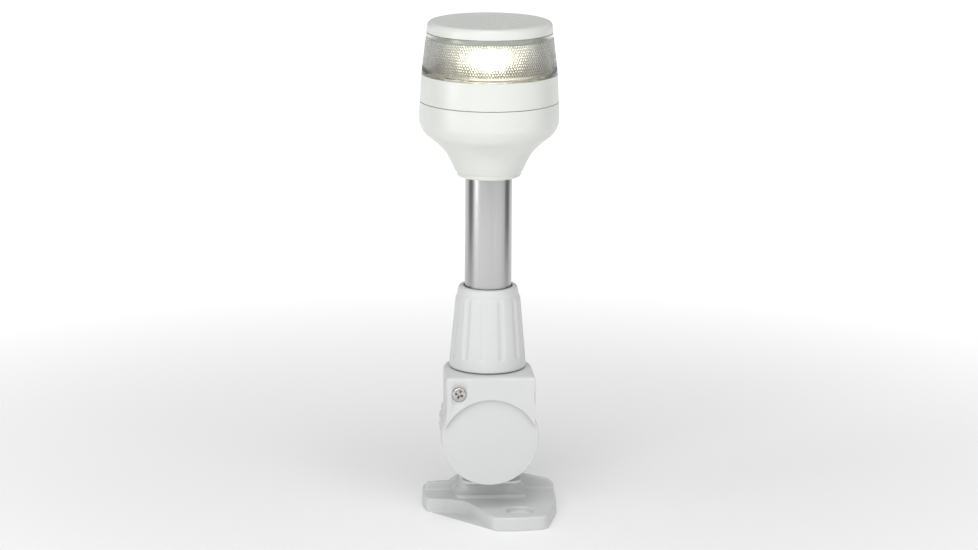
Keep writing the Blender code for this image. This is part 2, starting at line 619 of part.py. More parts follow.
def make_plate_screw(parent, steel):
    spot = {"place": (PLATE_SCREW_X, 0, PLATE_SCREW_HEIGHT), "rotation": TOWARDS_Y}
    seat = HOLDER_FRONT + PLATE_SCREW_SEAT - GAP
    front = seat - PLATE_SCREW_HEAD_HEIGHT
    head = PLATE_SCREW_HEAD_RADIUS
    profile = (
        (0, HOLDER_FRONT + PLATE_SCREW_LENGTH),
        (PLATE_SCREW_RADIUS * 0.4, HOLDER_FRONT + PLATE_SCREW_LENGTH),
        (PLATE_SCREW_RADIUS, HOLDER_FRONT + PLATE_SCREW_LENGTH - 0.002),
        (PLATE_SCREW_RADIUS, seat), (head, seat), (head, seat - 0.0004),
        (head * 0.75, front + 0.0002), (head * 0.4, front), (0, front),
    )
    screw = turned("plate_screw", profile, steps=24, closed=False, **spot)
    long, wide = SCREW_CROSS_HALF
    for number in range(2):
        arm = box(f"cross_{number}", (-long, -0.002, -wide), (long, SCREW_CROSS_DEPTH, wide))
        arm.location = (PLATE_SCREW_X, front, PLATE_SCREW_HEIGHT)
        arm.rotation_euler = (0, SCREW_CROSS_TURN + math.pi / 2 * number, 0)
        cut(screw, arm)
    return finish(screw, parent, steel)


# ================================================================ pole, sleeve and what grips the pole
def make_pole(parent, aluminium):
    pole = ring("pole", POLE_RADIUS - POLE_WALL, POLE_RADIUS, POLE_BOTTOM, POLE_TOP, steps=FINE)
    return finish(pole, parent, aluminium)


def ferrule_low():
    return SOCKET_TOP + GAP


def make_ferrule(parent, nylon):
    """The split tapered ring that the collar presses on to the pole."""
    low = ferrule_low()
    high = low + FERRULE_HEIGHT
    inner = SOCKET_BORE
    ferrule = turned("pole_ferrule", (
        (SOCKET_RADIUS - FERRULE_TAPER, high), (SOCKET_RADIUS, low + 0.001), (SOCKET_RADIUS, low),
        (inner, low), (inner, high)), steps=MEDIUM)
    slit = box("ferrule_slit", (-FERRULE_SLIT / 2, 0.0, low - 0.001),
               (FERRULE_SLIT / 2, SOCKET_RADIUS + 0.002, high + 0.001))
    return finish(cut(ferrule, slit), parent, nylon)


def make_slip_ring(parent, nylon):
    low = ferrule_low() + FERRULE_HEIGHT + GAP
    made = ring("slip_ring", SOCKET_BORE, SOCKET_RADIUS - FERRULE_TAPER, low, low + SLIP_RING_HEIGHT,
                steps=MEDIUM)
    return finish(made, parent, nylon)


def make_collar(parent, nylon):
    """The tapered, fluted sleeve nut that screws on to the holder's socket."""
    thread = SOCKET_RADIUS + THREAD_GAP
    shoulder = ferrule_low() + FERRULE_HEIGHT + SLIP_RING_HEIGHT + 2 * GAP
    seal = shoulder + POLE_SEAL_RISE
    groove = 2 * POLE_SEAL_RADIUS + 2 * GAP
    cone = SOCKET_RADIUS - FERRULE_TAPER + GAP
    profile = (
        (SOCKET_BORE + 0.0006, COLLAR_TOP), (COLLAR_NECK_RADIUS - 0.0014, COLLAR_TOP - 0.0010),
        (COLLAR_NECK_RADIUS - 0.0003, COLLAR_TOP - 0.0022), (COLLAR_NECK_RADIUS, COLLAR_TOP - 0.0034),
        (COLLAR_NECK_RADIUS, COLLAR_TOP - 0.0044), (COLLAR_TOP_RADIUS, COLLAR_TOP - 0.0066),
        (COLLAR_BOTTOM_RADIUS, COLLAR_BOTTOM + 0.0010), (COLLAR_BOTTOM_RADIUS - 0.0006, COLLAR_BOTTOM),
        (thread, COLLAR_BOTTOM), (thread, ferrule_low() + 0.001), (cone, shoulder - SLIP_RING_HEIGHT - GAP),
        (cone, shoulder), (SOCKET_BORE, shoulder), (SOCKET_BORE, seal),
        (SOCKET_BORE + groove, seal), (SOCKET_BORE + groove, seal + groove),
        (SOCKET_BORE, seal + groove),
    )
    collar = turned("collar_nut", profile, steps=FINE)
    slope = math.atan2(COLLAR_BOTTOM_RADIUS - COLLAR_TOP_RADIUS, COLLAR_HEIGHT)
    length = FLUTE_HIGH - FLUTE_LOW
    radius = (FLUTE_WIDTH**2 / 4 + FLUTE_DEPTH**2) / (2 * FLUTE_DEPTH)
    middle = (FLUTE_HIGH + FLUTE_LOW) / 2
    wall = COLLAR_BOTTOM_RADIUS - middle * math.tan(slope)
    cutters = bmesh.new()
    for number in range(FLUTES):
        made = bmesh.ops.create_cone(cutters, cap_ends=True, segments=16, radius1=radius,
                                     radius2=radius, depth=length)["verts"]
        angle = FLUTE_PHASE + 2 * math.pi * number / FLUTES
        for vert in made:
            x, y, z = vert.co
            x, z = x * math.cos(slope) - z * math.sin(slope), x * math.sin(slope) + z * math.cos(slope)
            x += wall + radius - FLUTE_DEPTH
            vert.co = (x * math.cos(angle) - y * math.sin(angle),
                       x * math.sin(angle) + y * math.cos(angle), z + COLLAR_BOTTOM + middle)
    cut(collar, mesh_object("flute_cutters", cutters))
    return finish(collar, parent, nylon)


def o_ring(name, radius, section, height, steps=MEDIUM):
    circle = [(radius + section * math.cos(-math.pi / 3 * k), height + section * math.sin(-math.pi / 3 * k))
              for k in range(6)]
    return turned(name, circle, steps=steps)


def make_pole_seal(parent, rubber):
    shoulder = ferrule_low() + FERRULE_HEIGHT + SLIP_RING_HEIGHT + 2 * GAP
    middle = shoulder + POLE_SEAL_RISE + POLE_SEAL_RADIUS + GAP
    seal = o_ring("pole_seal", POLE_RADIUS + GAP + POLE_SEAL_RADIUS, POLE_SEAL_RADIUS, middle)
    return finish(seal, parent, rubber)


# ================================================================ lead inside the pole
def make_lead(parent, sheath):
    """The two-core lead: down the pole, round a quarter turn and back to the exit grommet."""
    bend_height = LEAD_EXIT + LEAD_BEND
    floor = bowl_floor()
    top = floor + 0.0002
    centre = LEAD_OFFSET + LEAD_BEND
    points = [(0.0, 0.0, top), (0.0, 0.0, top - 0.008), (0.0, LEAD_OFFSET * 0.4, top - 0.018)]
    points += [(0.0, LEAD_OFFSET, top - 0.030 - 0.012 * k) for k in range(6)]
    points += [(0.0, centre - LEAD_BEND * math.cos(math.pi / 2 * k / 6),
                bend_height - LEAD_BEND * math.sin(math.pi / 2 * k / 6)) for k in range(7)]
    end = HOLDER_HALF_WIDTH - GROMMET_LENGTH / 2
    points += [(0.0, centre + (end - centre) * share, LEAD_EXIT) for share in (0.4, 0.75, 1.0)]
    curve = bpy.data.curves.new("lamp_lead", "CURVE")
    curve.dimensions = "3D"
    curve.bevel_depth = LEAD_RADIUS
    curve.bevel_resolution = 2
    curve.use_fill_caps = True
    spline = curve.splines.new("POLY")
    spline.points.add(len(points) - 1)
    for point, place in zip(spline.points, points):
        point.co = (*place, 1)
    return finish(link(bpy.data.objects.new("lamp_lead", curve)), parent, sheath)


def make_grommet(parent, rubber):
    front = HOLDER_HALF_WIDTH - GROMMET_LENGTH
    grommet = ring("exit_grommet", LEAD_RADIUS + GAP, LEAD_RADIUS + GAP + GROMMET_WALL,
                   front, HOLDER_HALF_WIDTH - 0.0002, steps=16,
                   place=(0, 0, LEAD_EXIT), rotation=TOWARDS_Y)
    return finish(grommet, parent, rubber)


# ================================================================ lamp
def bowl_floor():
    """Height of the bowl's inner floor, over the pole's upper end."""
    return POLE_TOP + GAP + POLE_STOP_THICKNESS


def make_bowl(parent, asa):
    top = LAMP_BASE + BOWL_HEIGHT
    floor = bowl_floor()
    flare = [(radius, LAMP_BASE + height) for radius, height in smooth_through(BOWL_FLARE)]
    inside = BOWL_RADIUS - LAMP_WALL
    ledge, rise = DRIVER_LEDGE
    profile = [
        (SEAM_RADIUS, top), *flare, (RIM_RADIUS, LAMP_BASE + 0.0012),
        (RIM_RADIUS - 0.0012, LAMP_BASE), (SOCKET_BORE, LAMP_BASE), (SOCKET_BORE, POLE_TOP + GAP),
        (LEAD_RADIUS + 2 * GAP, POLE_TOP + GAP), (LEAD_RADIUS + 2 * GAP, floor),
        (DRIVER_RADIUS - ledge, floor), (DRIVER_RADIUS - ledge, floor + rise),
        (DRIVER_RADIUS, floor + rise), (DRIVER_RADIUS + ledge, floor),
        (inside - 0.0060, floor + 0.0014), (inside - 0.0018, floor + 0.0055),
        (inside, floor + 0.0100), (inside, top),
    ]
    return finish(turned("lamp_bowl", profile), parent, asa)


def make_lamp_ring(parent, asa):
    base, top = RING_BASE, RING_BASE + RING_HEIGHT
    lip = BOWL_RADIUS - LAMP_WALL - TURN_GAP
    lens_lip = LENS_BOTTOM_RADIUS - LENS_WALL / 2 - GAP
    inner = lens_lip - LIP_WALL - 0.0004
    shelf = top - LIP_DEPTH - SEAL_SECTION - 2 * GAP
    groove = base - LIP_DEPTH / 2
    profile = (
        (LENS_BOTTOM_RADIUS, top), (SEAM_RADIUS, base), (lip, base), (lip, groove + SEAL_SECTION),
        (lip - 2 * SEAL_SECTION, groove + SEAL_SECTION), (lip - 2 * SEAL_SECTION, groove - SEAL_SECTION),
        (lip, groove - SEAL_SECTION), (lip, base - LIP_DEPTH), (lip - 0.0028, base - LIP_DEPTH),
        (lip - 0.0028, shelf - SHELF_THICKNESS), (lip - SHELF_WIDTH, shelf - SHELF_THICKNESS),
        (lip - SHELF_WIDTH, shelf - SHELF_SINK), (inner, shelf - SHELF_SINK), (inner, shelf),
        (lens_lip + 2 * GAP, shelf), (lens_lip + 2 * GAP, top),
    )
    return finish(turned("lamp_ring", profile), parent, asa)


def make_bowl_seal(parent, rubber):
    lip = BOWL_RADIUS - LAMP_WALL - TURN_GAP
    section = SEAL_SECTION - GAP / 2
    seal = o_ring("bowl_seal", lip - section + GAP / 2, section * 0.9, RING_BASE - LIP_DEPTH / 2)
    return finish(seal, parent, rubber)


def make_lens(parent, acrylic):
    base, top = LENS_BASE, LENS_BASE + LENS_HEIGHT
    lip = LENS_BOTTOM_RADIUS - LENS_WALL / 2 - GAP
    profile = (
        (LENS_TOP_RADIUS, top), (LENS_BOTTOM_RADIUS, base), (lip, base), (lip, base - GAP - LIP_DEPTH),
        (lip - LIP_WALL, base - GAP - LIP_DEPTH), (lip - LIP_WALL, base),
        (LENS_BOTTOM_RADIUS - LENS_WALL - 0.0005, base + 0.0012), (LENS_TOP_RADIUS - LENS_WALL, top),
    )
    return finish(turned("lens", profile), parent, acrylic)


def make_lens_seals(parent, rubber):
    lip = LENS_BOTTOM_RADIUS - LENS_WALL / 2 - GAP
    shelf = LENS_BASE - GAP - LIP_DEPTH - SEAL_SECTION - 2 * GAP
    lower = ring("lens_seal", lip - LIP_WALL, lip, shelf + GAP, shelf + GAP + SEAL_SECTION)
    finish(lower, parent, rubber)
    outer = LENS_TOP_RADIUS - 0.0010
    upper = ring("lid_seal", outer - 0.0008, outer, LID_BASE + GAP / 2, LID_BASE + SEAL_SECTION)
    finish(upper, parent, rubber)


def make_lid(parent, asa):
    base, top = LID_BASE, LID_BASE + LID_HEIGHT
    lip = LENS_TOP_RADIUS - LENS_WALL - GAP
    outer = LENS_TOP_RADIUS - 0.0010
    edge = [(LID_RADIUS - LID_EDGE + LID_EDGE * math.sin(math.pi / 2 * k / 4),
             top - LID_EDGE + LID_EDGE * math.cos(math.pi / 2 * k / 4)) for k in range(5)]
    profile = (
        (0, top + 0.0004), *edge, (LENS_TOP_RADIUS, base), (outer + GAP, base),
        (outer + GAP, base + SEAL_SECTION + GAP), (outer - 0.0008 - GAP, base + SEAL_SECTION + GAP),
        (outer - 0.0008 - GAP, base), (lip, base), (lip, base - LIP_DEPTH),
        (lip - LIP_WALL, base - LIP_DEPTH), (lip - LIP_WALL, top - LID_WALL), (0, top - LID_WALL),
    )
    return finish(turned("lid", profile, closed=False), parent, asa)


def sink_height():
    """Height of the heat sink's flange, on the lamp ring's inner shelf."""
    return LENS_BASE - LIP_DEPTH - SEAL_SECTION - 2 * GAP - SHELF_SINK


def make_heat_sink(parent, aluminium):
    low = sink_height()
    reach = BOWL_RADIUS - LAMP_WALL - TURN_GAP - SHELF_WIDTH + SINK_SEAT_WIDTH
    sink = ring("heat_sink", SINK_BORE, reach, low, low + SINK_FLANGE_THICKNESS, steps=FINE)
    post = prism("sink_post", POST_FLATS, low + 0.001, LENS_BASE + LENS_HEIGHT - POST_CLEARANCE,
                 turn=LED_TURN)
    join(sink, post)
    cut(sink, rod("sink_bore", SINK_BORE, low - 0.001, LENS_BASE + LENS_HEIGHT, steps=16))
    return finish(sink, parent, aluminium)


def make_led_board(parent, laminate):
    low = sink_height() + SINK_FLANGE_THICKNESS + GAP
    high = LENS_BASE + LENS_HEIGHT - POST_CLEARANCE - 2 * GAP
    board = prism("led_board", POST_FLATS + 2 * GAP + 2 * BOARD_THICKNESS, low, high, turn=LED_TURN)
    cut(board, prism("board_bore", POST_FLATS + 2 * GAP, low - 0.001, high + 0.001, turn=LED_TURN))
    return finish(board, parent, laminate)


def make_leds(parent, phosphor):
    reach = POST_FLATS / 2 + GAP + BOARD_THICKNESS + GAP
    middle = LENS_BASE + LED_MIDDLE
    wide, tall = LED_WIDTH / 2, LED_HEIGHT / 2
    for number in range(1, LED_COUNT + 1):
        angle = LED_TURN + 2 * math.pi * (number - 1) / LED_COUNT
        led = box(f"led_{number}", (0.0, -wide, -tall), (LED_THICKNESS, wide, tall))
        led.location = (reach * math.cos(angle), reach * math.sin(angle), middle)
        led.rotation_euler = (0, 0, angle)
        finish(led, parent, phosphor)


def make_driver(parent, laminate, can, ferrite):
    """The round driver board on the bowl's inner ledge, with its two tall parts."""
    low = bowl_floor() + DRIVER_LEDGE[1] + GAP
    board = ring("driver_board", LEAD_RADIUS, DRIVER_RADIUS, low, low + BOARD_THICKNESS, steps=MEDIUM)
    finish(board, parent, laminate)
    seat = low + BOARD_THICKNESS + GAP
    capacitor = rod("driver_capacitor", CAPACITOR_RADIUS, seat, seat + CAPACITOR_HEIGHT,
                    steps=16, place=CAPACITOR_PLACE)
    finish(capacitor, parent, can)
    inductor = box("driver_inductor", (*INDUCTOR_LOW, seat), (*INDUCTOR_HIGH, seat + INDUCTOR_HEIGHT))
    finish(inductor, parent, ferrite)


# ================================================================ assembly
def build():
    clear_scene()
    white_nylon = material("moulded white nylon", (0.80, 0.81, 0.81), 0.38)
    white_asa = material("moulded white ASA", (0.83, 0.84, 0.83), 0.30)
    grip_nylon = material("natural nylon", (0.72, 0.71, 0.66), 0.45)
    acrylic = material("clear acrylic", (0.93, 0.94, 0.90), 0.06, alpha=0.35)
    aluminium = material("brushed aluminium", (0.60, 0.60, 0.59), 0.32, metallic=1.0)
    steel = material("stainless steel", (0.62, 0.61, 0.60), 0.25, metallic=1.0)
    brass = material("turned brass", (0.78, 0.57, 0.25), 0.28, metallic=1.0)
    rubber = material("black rubber", (0.03, 0.03, 0.03), 0.70)
    sheath = material("lead sheath", (0.05, 0.05, 0.05), 0.55)
    laminate = material("white circuit board", (0.78, 0.79, 0.77), 0.40)
    phosphor = material("LED phosphor", (0.95, 0.90, 0.55), 0.35)
    ferrite = material("ferrite", (0.06, 0.06, 0.065), 0.50)

    root = empty("navigation_light", (0, 0, 0))
    fold = empty("fold_axis", (0, 0, HINGE_HEIGHT), root)
    knob_travel = empty("knob_travel_axis", (0, SPRING_FRONT, HINGE_HEIGHT), root)
    knob_turn = empty("knob_axis", (0, KNOB_FRONT, HINGE_HEIGHT), knob_travel)
    collar_travel = empty("collar_travel_axis", (0, 0, COLLAR_TOP), fold)
    collar_turn = empty("collar_axis", (0, 0, COLLAR_BOTTOM), collar_travel)

    make_base(root, white_nylon)
    make_pivot_bolt(root, steel)
    make_friction_washer(root, grip_nylon)

    make_holder_block(fold, white_nylon)
    make_front_plate(fold, white_nylon)
    make_plate_screw(fold, steel)
    make_thrust_washer(fold, steel)
    make_ferrule(fold, grip_nylon)
    make_pole(fold, aluminium)
    make_lead(fold, sheath)
    make_grommet(fold, rubber)

    make_bowl(fold, white_asa)
    make_bowl_seal(fold, rubber)
    make_lamp_ring(fold, white_asa)
    make_lens(fold, acrylic)
    make_lens_seals(fold, rubber)
    make_lid(fold, white_asa)
    make_heat_sink(fold, aluminium)
    make_led_board(fold, laminate)
    make_leds(fold, phosphor)
    make_driver(fold, laminate, aluminium, ferrite)

    make_spring_washer(knob_travel, steel)
    make_clamp_knob(knob_turn, white_nylon)
    make_knob_insert(knob_turn, brass)
    make_slip_ring(collar_travel, grip_nylon)
    make_collar(collar_turn, white_nylon)
    make_pole_seal(collar_turn, rubber)


build()
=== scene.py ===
"""Finished look of the all-round navigation light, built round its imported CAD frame.

Laid out as an add-on and run as a script. Everything is in metres in the frame's own axes: +Z up along
the pole, -Y the front where the plain hinge disc shows, the origin on the deck face under the pole.
"""

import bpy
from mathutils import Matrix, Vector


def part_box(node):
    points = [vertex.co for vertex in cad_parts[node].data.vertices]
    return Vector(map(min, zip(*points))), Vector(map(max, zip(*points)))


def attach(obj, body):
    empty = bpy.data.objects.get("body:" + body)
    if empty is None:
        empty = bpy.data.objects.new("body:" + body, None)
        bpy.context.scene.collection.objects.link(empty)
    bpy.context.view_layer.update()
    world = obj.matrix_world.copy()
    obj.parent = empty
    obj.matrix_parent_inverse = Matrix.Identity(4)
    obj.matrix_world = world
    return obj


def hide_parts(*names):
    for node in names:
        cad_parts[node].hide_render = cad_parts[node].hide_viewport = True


bl_info = {
    "name": "Navigation Light Finish",
    "version": (1, 0, 0),
    "blender": (4, 5, 0),
    "location": "View3D > Sidebar > Navigation Light",
    "description": "Builds the finished surfaces, materials and studio of a marine navigation light",
    "category": "Object",
}

import math

import bmesh
import bpy
from bpy.props import FloatProperty, FloatVectorProperty, IntProperty, PointerProperty
from mathutils import Matrix, Vector

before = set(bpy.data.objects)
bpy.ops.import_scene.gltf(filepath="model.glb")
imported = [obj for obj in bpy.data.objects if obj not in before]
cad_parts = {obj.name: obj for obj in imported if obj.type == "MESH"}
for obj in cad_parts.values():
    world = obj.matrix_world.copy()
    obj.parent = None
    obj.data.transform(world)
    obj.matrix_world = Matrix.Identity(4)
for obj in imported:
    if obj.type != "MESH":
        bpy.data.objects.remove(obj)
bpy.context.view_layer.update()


def centre_of(node):
    """Middle of a node's box."""
    low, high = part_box(node)
    return (low + high) / 2


def radius_of(node):
    """Half a node's width in X, which is a round node's radius."""
    low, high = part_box(node)
    return (high.x - low.x) / 2


def half_height(node):
    """Half a node's height in Z, which is a standing hexagon's reach to its corners."""
    low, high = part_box(node)
    return (high.z - low.z) / 2


def towards_back(x, z):
    """Turns a shape's heights to run from the front to the back, along the line at x and z."""
    return Matrix.Translation((x, 0, z)) @ Matrix.Rotation(-math.pi / 2, 4, "X")


GAP = 0.0003                    # left between pieces that rest on each other, as in the frame
ROUND = 192                     # facets round a large turned piece
SMALL_ROUND = 64                # and round a small one
CAP_MARGIN = 0.00008            # width of the flat border inside a rounded rim
HINGE_HEIGHT = centre_of("pivot_bolt").z
ON_HINGE = towards_back(0, HINGE_HEIGHT)
UPRIGHT = Matrix.Translation((0, 0, HINGE_HEIGHT)) @ Matrix.Rotation(math.pi / 2, 4, "X")

# Sizes inside the pieces, where the frame's boxes don't reach.
BOWL_FLARE = (                  # radius and height of the bowl's outer line, over its lower rim
    (0.03735, 0.0407), (0.03765, 0.0350), (0.0377, 0.0318), (0.0374, 0.0286), (0.0349, 0.0237),
    (0.0289, 0.0186), (0.0237, 0.0132), (0.0207, 0.0080), (0.0185, 0.0032),
)
BOWL_RIM = 0.0175
SEAM_CLEARANCE = 0.0005         # between the lamp's walls and the lips that reach inside them
BOWL_FLOOR = 0.0050             # thickness of the stop over the pole's end
LEAD_WAY = 0.0022               # radius of the hole that the lead comes through
DRIVER_LEDGE = (0.0220, 0.0250, 0.0022)     # inner and outer radius and height of the board's ledge
RING_SHELF = 0.0095             # the lens seal's shelf over the ring's lower edge
RING_WALL = 0.0028              # thickness of the lip that reaches down into the bowl
RING_LEDGE = 0.0070             # how far the shelf's underside reaches in from that lip
RING_SHELF_DEPTH = 0.0034       # from the shelf's top to its underside
RING_SEAL_STEP = 0.0012         # how far the shelf drops inside the lens's lip
RING_SEAL_WIDTH = 0.0022
LIP_STEP = 0.0013               # how far the lens's lip stands in from its outer wall
LIP_WALL = 0.0018               # thickness of the lens's lip and the lid's
LID_THICKNESS = 0.0022
LENS_LIP = 0.0043               # how far the lens's lip reaches down into the ring
LENS_TOP_RADIUS = 0.0339
PRISM_STEPS = 6                 # facets across one prism
PRISM_FLATNESS = 2.6            # 2 is a plain pillow; more is flatter, with a steeper rim
LED_THICKNESS = 0.0012
LED_WIDTH = 0.0036
POLE_WALL = 0.0016
COLLAR_TOP_RADIUS = 0.0176
COLLAR_NECK_RADIUS = 0.0166
COLLAR_SHOULDER = 0.0066        # from the sleeve's top down to where its taper starts
COLLAR_NECK = (0.0034, 0.0044)  # from its top down to the neck's two rounded bends
COLLAR_HEM = 0.0012             # height of the plain hem under the taper
FLUTE_END = 0.0012              # length of the scooped end of a flute
SOCKET_RADIUS = 0.0156
SOCKET_HEIGHT = 0.0290
THREAD_RIDGE = 0.0004
THREAD_RUNOUT = 0.0012          # over which the thread fades out at each end
HEAD_THICKNESS = 0.0074
SHOULDER_TIP = 0.0008
ARCH_RADIUS = 0.0268
ARCH_DROP = 0.0050              # the plate's arch is centred this far below the hinge
PLATE_CORNER = 0.0012           # radius of the plate's upper corners
SCREW_RADIUS = 0.0019
SCREW_SEAT = 0.0006             # depth of the recess round the plate screw's head
CROSS_ARM = (0.0024, 0.00055)   # half length and half width of the screw's cross
CROSS_DEPTH = 0.0018
CROSS_TURN = 20                 # degrees that the cross stands turned by
DISC_RADIUS = 0.0265
DISC_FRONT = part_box("front_plate")[1].y + GAP
BOLT_RADIUS = 0.0040
BOLT_HEAD = 0.0050
KNOB_DISH = (0.0008, 0.62, 0.70)    # depth of the knob's dish, and where its side starts and ends
GRIP_WIDTH = 2.2                # width of the ribbed part, in edge radii
FLOOR_HALF_WIDTH = 15.0
FLAG_HALF_WIDTH = 0.19
LIGHT_AIM = 0.15                # height on the pole's axis that the studio lights point at
NECK_WAIST = 0.0063             # over the deck plate
NECK_SPREAD = 0.0024
NECK_LEFT, NECK_RIGHT = -0.0147, 0.0176
NECK_FRONT, NECK_REAR = 0.0022, 0.0165
DECK_OUTLINE = (                # x, y and corner radius: left foot, front right lobe, rear edge
    (-0.0332, -0.0009, 0.003), (-0.0127, -0.0037, 0.031), (0.0012, -0.0380, 0.005),
    (0.0140, -0.0392, 0.040), (0.0305, -0.0362, 0.006), (0.0380, -0.0080, 0.030),
    (0.0396, 0.0300, 0.006), (-0.0332, 0.0300, 0.006), (-0.0350, 0.0120, 0.020),
)
DECK_HOLES = (((0.0163, -0.0256), 0.0073), ((-0.0230, 0.0236), 0.0050), ((0.0270, 0.0236), 0.0050))
RECESS_DEPTH = 0.0032
SCREW_HOLE_RADIUS = 0.0026
RIB_FRONT = 0.0150
RIB_THICKNESS = 0.0028
RIBS = (                        # x, height over the deck plate and corner radius, left rib then right
    ((-0.0330, 0.0023, 0.0006), (-0.0316, 0.0044, 0.0010), (-0.0200, 0.0044, 0.0040),
     (-0.0150, 0.0083, 0.0020), (0.0088, 0.0083, 0.0004)),
    ((-0.0073, 0.0088, 0.0004), (0.0200, 0.0088, 0.0020), (0.0360, 0.0050, 0.0010),
     (0.0386, 0.0023, 0.0004)),
)


def linear(code):
    """Linear red, green and blue of an sRGB hex colour."""
    shares = [int(code[place:place + 2], 16) / 255 for place in (0, 2, 4)]
    return tuple(v / 12.92 if v <= 0.04045 else ((v + 0.055) / 1.055) ** 2.4 for v in shares)


# ================================================================ settings
def length_setting(name, description, default):
    return FloatProperty(name=name, description=description, default=default, unit="LENGTH")


def angle_setting(name, description, degrees):
    return FloatProperty(name=name, description=description, default=math.radians(degrees),
                         subtype="ANGLE")


def power_setting(name, description, watts):
    return FloatProperty(name=name, description=description, default=watts, subtype="POWER")


def amount_setting(name, description, default):
    return FloatProperty(name=name, description=description, default=default)


def number_setting(name, description, default):
    return IntProperty(name=name, description=description, default=default)


def colour_setting(name, description, code):
    return FloatVectorProperty(name=name, description=description, default=linear(code),
                               subtype="COLOR", size=3)


class LampSizes(bpy.types.PropertyGroup):
    lid_edge: length_setting("Lid edge", "Radius of the lid's rounded rim", 0.0030)
    lid_dish: length_setting("Lid dish", "Depth of the hollow in the lid's top", 0.0004)
    seam_edge: length_setting("Seam edge", "Radius on the edges beside each seam", 0.0003)
    wall: length_setting("Wall", "Wall thickness of the bowl and the lid", 0.0024)
    rim_edge: length_setting("Rim edge", "Radius on the bowl's lower rim", 0.0011)


class LensSizes(bpy.types.PropertyGroup):
    pitch: length_setting("Prism pitch", "Width of one lens prism round the lens", 0.00145)
    rows: number_setting("Prism rows", "Rows of prisms up the lens", 13)
    depth: length_setting("Prism depth", "Depth of the grooves between the prisms", 0.00036)
    clear_ring: length_setting("Clear ring", "Height of the plain ring at each edge", 0.0020)
    wall: length_setting("Wall", "Wall thickness of the lens", 0.0024)


class SleeveSizes(bpy.types.PropertyGroup):
    flutes: number_setting("Flutes", "Number of finger flutes", 12)
    flute_phase: angle_setting("Flute phase", "Angle of the first flute", 18.4)
    flute_width: length_setting("Flute width", "Width of a flute", 0.0042)
    flute_depth: length_setting("Flute depth", "Depth of a flute", 0.0006)
    flute_low: length_setting("Flute foot", "Flute's lower end over the sleeve's foot", 0.0064)
    flute_high: length_setting("Flute head", "Flute's upper end over the sleeve's foot", 0.0392)
    thread_pitch: length_setting("Thread pitch", "Pitch of the thread under the sleeve", 0.0030)


class HolderSizes(bpy.types.PropertyGroup):
    edge: length_setting("Edge", "Radius on the holder's outer edges", 0.0009)
    top_edge: length_setting("Top edge", "Radius on the holder's upper rim", 0.0016)
    voxel: length_setting("Detail", "Finest detail of the moulded block", 0.00035)


class BaseSizes(bpy.types.PropertyGroup):
    deck_height: length_setting("Deck plate", "Thickness of the deck plate", 0.0077)
    deck_edge: length_setting("Deck edge", "Radius on the deck plate's upper rim", 0.0010)
    disc_edge: length_setting("Disc edge", "Radius on the hinge disc's rim", 0.0007)
    voxel: length_setting("Detail", "Finest detail of the moulded base", 0.00040)


class KnobSizes(bpy.types.PropertyGroup):
    ribs: number_setting("Ribs", "Number of grip ribs round the knob", 28)
    rib_depth: length_setting("Rib depth", "Depth of the hollows between the ribs", 0.0009)
    edge: length_setting("Edge", "Radius on the knob's rims", 0.0024)


class Finishes(bpy.types.PropertyGroup):
    housing: colour_setting("Lamp housing", "Moulded ASA of the lamp", "D9DCD7")
    nylon: colour_setting("Base and sleeve", "Moulded nylon of base and sleeve", "D5D6D6")
    natural_nylon: colour_setting("Inner nylon", "Nylon of the inner rings", "DAD6C8")
    # painted shade: how much of the lens's colour is left in its prism grooves
    painted_groove_shade: amount_setting("Groove shade", "Light left in the lens's grooves", 0.15)
    silicone: colour_setting("Silicone", "Colour of the lamp's seals", "E4E4DF")
    acrylic: colour_setting("Lens", "Tint of the clear acrylic lens", "FCFCF8")
    aluminium: colour_setting("Pole", "Satin anodised aluminium of the pole", "B2B3B2")
    stainless: colour_setting("Screws", "Stainless steel of the fasteners", "C4C2BE")
    brass: colour_setting("Insert", "Brass of the knob's insert", "D9B46A")
    rubber: colour_setting("Black rubber", "Rubber of pole seal, grommet and lead", "1D1D1E")
    board: colour_setting("Boards", "Solder mask of the circuit boards", "E9EAE6")
    glow: colour_setting("Glow", "Colour of the light source", "FFF6E2")
    glow_strength: amount_setting("Glow strength", "Brightness of the light source", 160.0)


class StageSettings(bpy.types.PropertyGroup):
    azimuth: angle_setting("Azimuth", "Camera's place round the light", -4.5)
    distance: length_setting("Distance", "Camera's distance from the pole's axis", 1.641)
    height: length_setting("Height", "Camera's height over the deck face", 0.5185)
    pitch: angle_setting("Pitch", "How far the camera looks down", 13.2)
    roll: angle_setting("Roll", "How far the camera leans", 0.42)
    sideways: length_setting("Sideways", "How far the camera stands to the right", 0.0005)
    lens: amount_setting("Lens", "Focal length on a 36 mm wide sensor", 114.3)
    floor: colour_setting("Floor", "Colour of the studio floor", "F7F7F7")
    key_power: power_setting("Key light", "Power of the large front light", 5.5)
    fill_power: power_setting("Fill light", "Power of the right hand light", 2.8)
    # the floor's own glow, kept low near the light as painted shade round its foot
    floor_glow: amount_setting("Floor glow", "Glow of the lit floor away from the light", 0.7)
    rim_power: power_setting("Rim light", "Power of the small light at the left", 1.3)
    top_power: power_setting("Top light", "Power of the light overhead", 6.5)
    sky_strength: amount_setting("Room light", "Brightness of the white room", 0.42)


class NavigationLight(bpy.types.PropertyGroup):
    lamp: PointerProperty(type=LampSizes)
    lens: PointerProperty(type=LensSizes)
    sleeve: PointerProperty(type=SleeveSizes)
    holder: PointerProperty(type=HolderSizes)
    base: PointerProperty(type=BaseSizes)
    knob: PointerProperty(type=KnobSizes)
    finishes: PointerProperty(type=Finishes)
    stage: PointerProperty(type=StageSettings)


